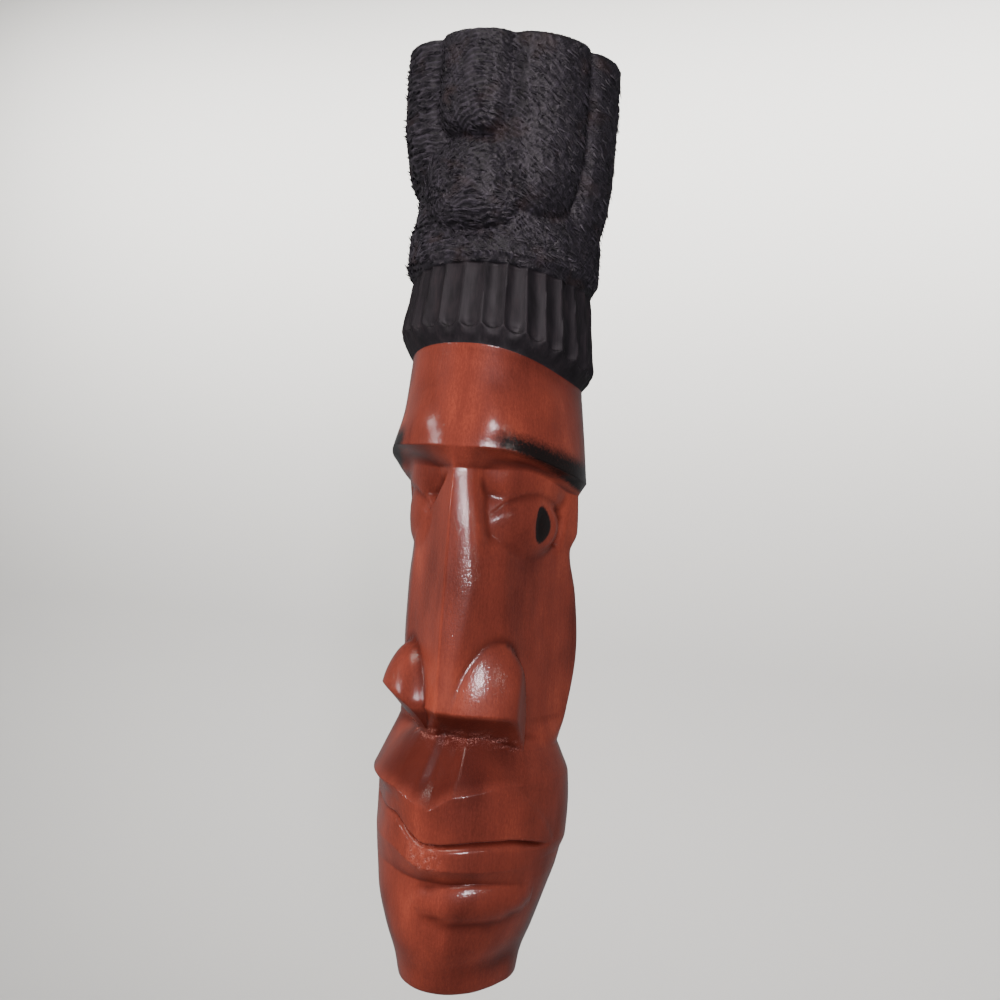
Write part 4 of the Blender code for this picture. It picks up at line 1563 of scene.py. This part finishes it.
    def faces(self, count: int, columns: int) -> list[tuple[int, ...]]:
        """List the faces: quads round the wall, the back and the ends, and two fans.

        Args:
            count: How many loops there are.
            columns: How many points each loop has.

        Returns:
            The points of each face. The two middle points of the fans come after the loops'.
        """
        start = np.arange(count - 1)[:, None] * columns
        low = start + np.arange(columns - 1)[None, :]
        walls = np.stack([low, low + 1, low + 1 + columns, low + columns], axis=2)
        backs = np.stack([start + columns - 1, start, start + columns,
                          start + 2 * columns - 1], axis=2)
        quads = np.concatenate([walls, backs], axis=1).reshape(-1, 4)
        rim = (count - 1) * columns
        fans = []
        for i in range(columns):
            j = (i + 1) % columns
            fans.append((count * columns, j, i))
            fans.append((count * columns + 1, rim + i, rim + j))
        return list(map(tuple, quads)) + fans

    def zones(self, height: Grid) -> Grid:
        """Which zone each face belongs to, in the order of the faces.

        Args:
            height: The height in front of each loop's points.

        Returns:
            The zones' numbers.
        """
        columns = height.shape[1]
        # The faces over a line belong to the zone over it, so rounding is added first.
        level = height[:-1, 0] + 1e-4
        walls = np.where(level >= Line.BAND_TOP, Zone.HAIR.value,
                         np.where(level >= Line.FOREHEAD_TOP, Zone.BAND.value, Zone.FACE.value))
        walls = np.repeat(walls[:, None], columns, axis=1)
        ends = len(self.cap_shares)
        walls[ends:len(height) - ends, -1] = Zone.BACK.value
        fans = [Zone.FACE.value, Zone.HAIR.value] * columns
        return np.concatenate([walls.ravel(), fans]).astype(np.int32)

    def build(self, materials: list[bpy.types.Material]) -> bpy.types.Object:
        """Make the carving's skin.

        Args:
            materials: One for each zone, in the zones' order.

        Returns:
            The object, in place.
        """
        loops, notes = self.loops(self.grid())
        depth, half = self.form.back_depth, self.form.height / 2
        middles = [(0.0, -depth, -half), (0.0, -depth, half - self.sawn_middle)]
        mesh = bpy.data.meshes.new("carved_face_skin")
        mesh.from_pydata(list(map(tuple, loops.reshape(-1, 3))) + middles, [],
                         self.faces(*loops.shape[:2]))
        mesh.polygons.foreach_set("material_index", self.zones(notes["height"]))
        for name in FINISH_NOTES:
            values = np.append(notes[name].ravel(), [0.0, 0.0]).astype(np.float32)
            mesh.attributes.new(name, "FLOAT", "POINT").data.foreach_set("value", values)
        self.store_burr_notes(mesh, notes)
        keep_inside(mesh)
        mesh.shade_smooth()
        mesh.set_sharp_from_angle(angle=math.radians(self.sharp_angle))
        for material in materials:
            mesh.materials.append(material)
        skin = bpy.data.objects.new("carved_face_skin", mesh)
        bpy.context.scene.collection.objects.link(skin)
        return skin

    def store_burr_notes(self, mesh: bpy.types.Mesh, notes: dict[str, Grid]) -> None:
        """Store where burrs may stand and which way the strokes run there.

        Args:
            mesh: The skin's mesh.
            notes: The notes on every loop's points.
        """
        turn = np.radians(notes["turn"])
        slope = notes["slope"]
        length = np.sqrt(1 + slope * slope)
        run = np.stack([np.cos(turn) / length, np.sin(turn) / length, slope / length], axis=2)
        run = np.append(run.reshape(-1, 3), np.zeros((2, 3)), axis=0).astype(np.float32)
        mesh.attributes.new("stroke", "FLOAT_VECTOR", "POINT").data.foreach_set(
            "vector", run.ravel())
        height = notes["height"]
        spare = (ramp(height, *self.hair_start) * (1 - ramp(height, *self.burr_top))
                 * (np.abs(notes["turn"]) < self.burr_turn_limit)
                 * (notes["room"] > self.burr_room))
        spare = np.append(spare.ravel(), [0.0, 0.0]).astype(np.float32)
        mesh.attributes.new("burred", "FLOAT", "POINT").data.foreach_set("value", spare)


@dataclass
class HairBurrs:
    """Splinters that the chopping lifted off the hair, scattered over the skin.

    Each is a slim four-sided point that lies along the stroke under it, leans up by
    some degrees and strays to either side by up to so many radians.
    """

    per_square_metre: float = 110000.0
    length: float = 3.6 * MM
    width: float = 1.3 * MM
    thickness: float = 0.6 * MM
    lean: float = 12.0
    lean_shares: tuple[float, float] = (0.6, 1.7)
    stray: float = 0.3
    smallest: Size = (0.55, 0.6, 0.6)
    largest: Size = (1.25, 1.2, 1.3)
    sides: int = 4
    seed: int = 5

    def tree(self, material: bpy.types.Material) -> tuple[bpy.types.NodeTree, dict[str, str]]:
        """Make the scattering tree.

        Args:
            material: The burrs' finish.

        Returns:
            The tree, and the identifier of each of its named inputs.
        """
        tree = bpy.data.node_groups.new("hair_burrs", "GeometryNodeTree")
        kinds = {"Skin": "NodeSocketGeometry", "Density": "NodeSocketFloat",
                 "Length": "NodeSocketFloat", "Width": "NodeSocketFloat",
                 "Thickness": "NodeSocketFloat", "Lean": "NodeSocketFloat",
                 "Seed": "NodeSocketInt"}
        sockets = {name: tree.interface.new_socket(name, in_out="INPUT", socket_type=kind)
                   for name, kind in kinds.items()}
        tree.interface.new_socket("Burrs", in_out="OUTPUT", socket_type="NodeSocketGeometry")
        given = add_node(tree, "NodeGroupInput").outputs
        where = add_node(tree, "GeometryNodeInputNamedAttribute", {"Name": "burred"},
                         data_type="FLOAT").outputs["Attribute"]
        run = add_node(tree, "GeometryNodeInputNamedAttribute", {"Name": "stroke"},
                       data_type="FLOAT_VECTOR").outputs["Attribute"]
        spots = add_node(tree, "GeometryNodeDistributePointsOnFaces", {
            "Mesh": given["Skin"], "Selection": add_node(
                tree, "FunctionNodeCompare", {"A": where, "B": 0.5},
                data_type="FLOAT", operation="GREATER_THAN").outputs["Result"],
            "Density": given["Density"], "Seed": given["Seed"]}, distribute_method="RANDOM")
        upright = add_node(tree, "FunctionNodeAlignRotationToVector",
                           {"Vector": spots.outputs["Normal"]}, axis="Z")
        along = add_node(tree, "FunctionNodeAlignRotationToVector", {
            "Rotation": upright.outputs["Rotation"], "Vector": run}, axis="X", pivot_axis="Z")
        lift = add_node(tree, "FunctionNodeRandomValue", {
            2: add_node(tree, "ShaderNodeMath", {0: given["Lean"], 1: -self.lean_shares[0]},
                        operation="MULTIPLY").outputs["Value"],
            3: add_node(tree, "ShaderNodeMath", {0: given["Lean"], 1: -self.lean_shares[1]},
                        operation="MULTIPLY").outputs["Value"],
            "Seed": 11}, data_type="FLOAT")
        turn = add_node(tree, "FunctionNodeRandomValue", {
            2: -self.stray, 3: self.stray, "Seed": 12}, data_type="FLOAT")
        twist = add_node(tree, "ShaderNodeCombineXYZ", {
            "Y": lift.outputs[1], "Z": turn.outputs[1]})
        lean = add_node(tree, "FunctionNodeRotateRotation", {
            "Rotation": along.outputs["Rotation"], "Rotate By": add_node(
                tree, "FunctionNodeEulerToRotation",
                {"Euler": twist.outputs["Vector"]}).outputs["Rotation"]},
            rotation_space="LOCAL")
        size = add_node(tree, "FunctionNodeRandomValue", {
            0: self.smallest, 1: self.largest, "Seed": 13}, data_type="FLOAT_VECTOR")
        cone = add_node(tree, "GeometryNodeMeshCone", {
            "Vertices": self.sides, "Radius Top": 0.0, "Radius Bottom": 0.5, "Depth": 1.0})
        lay = add_node(tree, "GeometryNodeTransform", {
            "Geometry": cone.outputs["Mesh"], "Rotation": (0.0, math.radians(90), 0.0)})
        scale = add_node(tree, "ShaderNodeCombineXYZ", {
            "X": given["Length"], "Y": given["Width"], "Z": given["Thickness"]})
        splinter = add_node(tree, "GeometryNodeTransform", {
            "Geometry": lay.outputs["Geometry"], "Scale": scale.outputs["Vector"]})
        placed = add_node(tree, "GeometryNodeInstanceOnPoints", {
            "Points": spots.outputs["Points"], "Instance": splinter.outputs["Geometry"],
            "Rotation": lean.outputs["Rotation"], "Scale": size.outputs[0]})
        solid = add_node(tree, "GeometryNodeRealizeInstances",
                         {"Geometry": placed.outputs["Instances"]})
        dressed = add_node(tree, "GeometryNodeSetMaterial", {
            "Geometry": solid.outputs["Geometry"], "Material": material})
        add_node(tree, "NodeGroupOutput", {"Burrs": dressed.outputs["Geometry"]})
        return tree, {name: socket.identifier for name, socket in sockets.items()}

    def build(self, skin: bpy.types.Object, material: bpy.types.Material) -> bpy.types.Object:
        """Scatter the burrs over the skin and keep them as one plain mesh.

        Args:
            skin: The carving's skin, with its notes on strokes.
            material: The burrs' finish.

        Returns:
            The burrs, in place.
        """
        host = bpy.data.objects.new("burr_host", skin.data)
        bpy.context.scene.collection.objects.link(host)
        tree, identifiers = self.tree(material)
        modifier = host.modifiers.new("burrs", "NODES")
        modifier.node_group = tree
        values = {"Density": self.per_square_metre, "Length": self.length,
                  "Width": self.width, "Thickness": self.thickness,
                  "Lean": math.radians(self.lean), "Seed": self.seed}
        for name, value in values.items():
            modifier[identifiers[name]] = value
        evaluated = host.evaluated_get(bpy.context.evaluated_depsgraph_get())
        mesh = bpy.data.meshes.new_from_object(evaluated)
        mesh.name = "hair_burrs"
        keep_inside(mesh)
        host.modifiers.remove(modifier)
        bpy.data.objects.remove(host)
        burrs = bpy.data.objects.new("hair_burrs", mesh)
        bpy.context.scene.collection.objects.link(burrs)
        return burrs


@dataclass(frozen=True)
class PhotoCamera:
    """The camera where the photograph was taken from.

    Azimuth and roll are degrees, and the distance is metres. The focal length and the
    picture's width are in the photograph's pixels.
    """

    azimuth: float = 18.0
    roll: float = 3.85
    distance: float = 0.508
    focal_pixels: float = 1123.0
    picture_pixels: float = 1000.0
    aim_aside: float = 6.9 * MM
    aim_height: float = 8.75 * MM

    def build(self, back_depth: float) -> bpy.types.Object:
        """Place the camera and make it the scene's.

        Args:
            back_depth: How far the log's axis lies in front of the back.

        Returns:
            The camera.
        """
        turn, roll = math.radians(self.azimuth), math.radians(self.roll)
        aside = Vector((math.cos(turn), math.sin(turn), 0))
        out = Vector((math.sin(turn), -math.cos(turn), 0))
        up = Vector((0, 0, 1))
        x_axis = aside * math.cos(roll) + up * math.sin(roll)
        y_axis = up * math.cos(roll) - aside * math.sin(roll)
        place = (Vector((0, -back_depth, self.aim_height)) + aside * self.aim_aside
                 + out * self.distance)
        lens = bpy.data.cameras.new("photo_camera")
        lens.sensor_fit = "HORIZONTAL"
        lens.angle = 2 * math.atan(self.picture_pixels / 2 / self.focal_pixels)
        camera = bpy.data.objects.new("photo_camera", lens)
        camera.matrix_world = Matrix([(x_axis[i], y_axis[i], out[i], place[i])
                                      for i in range(3)] + [(0, 0, 0, 1)])
        bpy.context.scene.collection.objects.link(camera)
        bpy.context.scene.camera = camera
        return camera


@dataclass(frozen=True)
class SoftLight:
    """One soft rectangular light, aimed at a point.

    Azimuth, elevation and spread are degrees, sizes metres and power watts.
    """

    name: str
    azimuth: float
    elevation: float
    distance: float
    width: float
    height: float
    power: float
    tint: str = "#ffffff"
    aim: tuple[float, float, float] = (0.0, 0.0, 0.0)
    spread: float = 180.0
    mirrored: bool = True

    def build(self) -> bpy.types.Object:
        """Hang the light. One that isn't mirrored leaves no highlight on the varnish.

        Returns:
            The light.
        """
        turn, lift = math.radians(self.azimuth), math.radians(self.elevation)
        away = Vector((math.sin(turn) * math.cos(lift), -math.cos(turn) * math.cos(lift),
                       math.sin(lift)))
        lamp = bpy.data.lights.new(self.name, "AREA")
        lamp.shape = "RECTANGLE"
        lamp.size, lamp.size_y = self.width, self.height
        lamp.energy = self.power
        lamp.spread = math.radians(self.spread)
        lamp.color = colour(self.tint)[:3]
        light = bpy.data.objects.new(self.name, lamp)
        light.location = away * self.distance
        light.visible_glossy = self.mirrored
        toward = Vector(self.aim) - light.location
        light.rotation_euler = toward.to_track_quat("-Z", "Y").to_euler()
        bpy.context.scene.collection.objects.link(light)
        return light


@dataclass
class Studio:
    """A plain pale floor that curves up into a pale wall behind, and soft light.

    Lengths are metres.
    """

    floor_level: float = -1.1
    half_width: float = 4.0
    front: float = -3.0
    back: float = 1.0
    curve_radius: float = 0.8
    wall_top: float = 2.6
    curve_steps: int = 12
    tone: str = "#d0d0ce"
    paper_roughness: float = 0.9
    ambience: str = "#f2f4f7"
    ambient_strength: float = 0.22
    # The windows and the ceiling draw the highlights, the side light fills the shade and
    # the backdrop light falls on the sheet behind.
    lights: tuple[SoftLight, ...] = (
        SoftLight("window", 24.0, 9.0, 1.3, 0.085, 0.25, 5.2, "#fff0f8", spread=90.0),
        SoftLight("far_window", 50.0, 9.0, 1.3, 0.05, 0.16, 0.2, "#fff6f0", spread=90.0),
        SoftLight("left_window", -46.0, 10.0, 1.3, 0.055, 0.2, 1.1, "#fff0f4", spread=90.0),
        SoftLight("ceiling", -6.0, 56.0, 1.4, 0.4, 0.4, 1.25, "#fff8f0", spread=70.0),
        SoftLight("side", -62.0, 12.0, 1.2, 0.2, 0.3, 1.9, "#fff2ec", (0.0, 0.0, -0.1), 50.0,
                  mirrored=False),
        SoftLight("backdrop", 180.0, 52.0, 1.65, 4.2, 0.4, 80.0, "#fffcf8", (-0.05, 1.8, 0.5), 100.0),
    )

    def sweep(self) -> bpy.types.Object:
        """Make the floor and the wall behind as one curved sheet.

        Returns:
            The sheet.
        """
        profile = [(self.front, self.floor_level)]
        for step in range(self.curve_steps + 1):
            angle = math.radians(90 * step / self.curve_steps)
            profile.append((self.back + self.curve_radius * math.sin(angle),
                            self.floor_level + self.curve_radius * (1 - math.cos(angle))))
        profile.append((self.back + self.curve_radius, self.wall_top))
        points = [(side * self.half_width, depth, level)
                  for depth, level in profile for side in (-1, 1)]
        faces = [(2 * k, 2 * k + 1, 2 * k + 3, 2 * k + 2) for k in range(len(profile) - 1)]
        mesh = bpy.data.meshes.new("studio_floor")
        mesh.from_pydata(points, [], faces)
        mesh.shade_smooth()
        # Plain matt paper, rolled smooth: it shows no pattern and no shine of its own.
        mesh.materials.append(Painter("matt_pale_paper").finish({
            "Base Color": colour(self.tone), "Roughness": self.paper_roughness}))
        floor = bpy.data.objects.new("studio_floor", mesh)
        # The varnish doesn't mirror the sheet, or the carving's edges would turn white.
        floor.visible_glossy = False
        bpy.context.scene.collection.objects.link(floor)
        return floor

    def build(self) -> bpy.types.Object:
        """Set up the floor, the lights and the even light from all round.

        Returns:
            The floor.
        """
        world = bpy.data.worlds.new("studio")
        world.use_nodes = True
        background = world.node_tree.nodes["Background"]
        background.inputs["Color"].default_value = colour(self.ambience)
        background.inputs["Strength"].default_value = self.ambient_strength
        bpy.context.scene.world = world
        for light in self.lights:
            light.build()
        return self.sweep()


def main() -> None:
    """Build the carving, its burrs, the camera and the studio, in that order."""
    logging.basicConfig(level=logging.INFO, format="%(name)s: %(message)s")
    hair = ScorchedHair().build()
    carving = CarvedFace()
    skin = carving.build([VarnishedWood().build(), BlackenedBand().build(), hair,
                          SawnBack().build()])
    burrs = HairBurrs().build(skin, hair)
    for piece in (skin, burrs):
        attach(piece, "root")
        LOG.info("%s: %d faces", piece.name, len(piece.data.polygons))
    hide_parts("carved_face")
    PhotoCamera().build(carving.form.back_depth)
    Studio().build()


if __name__ == "__main__":
    main()
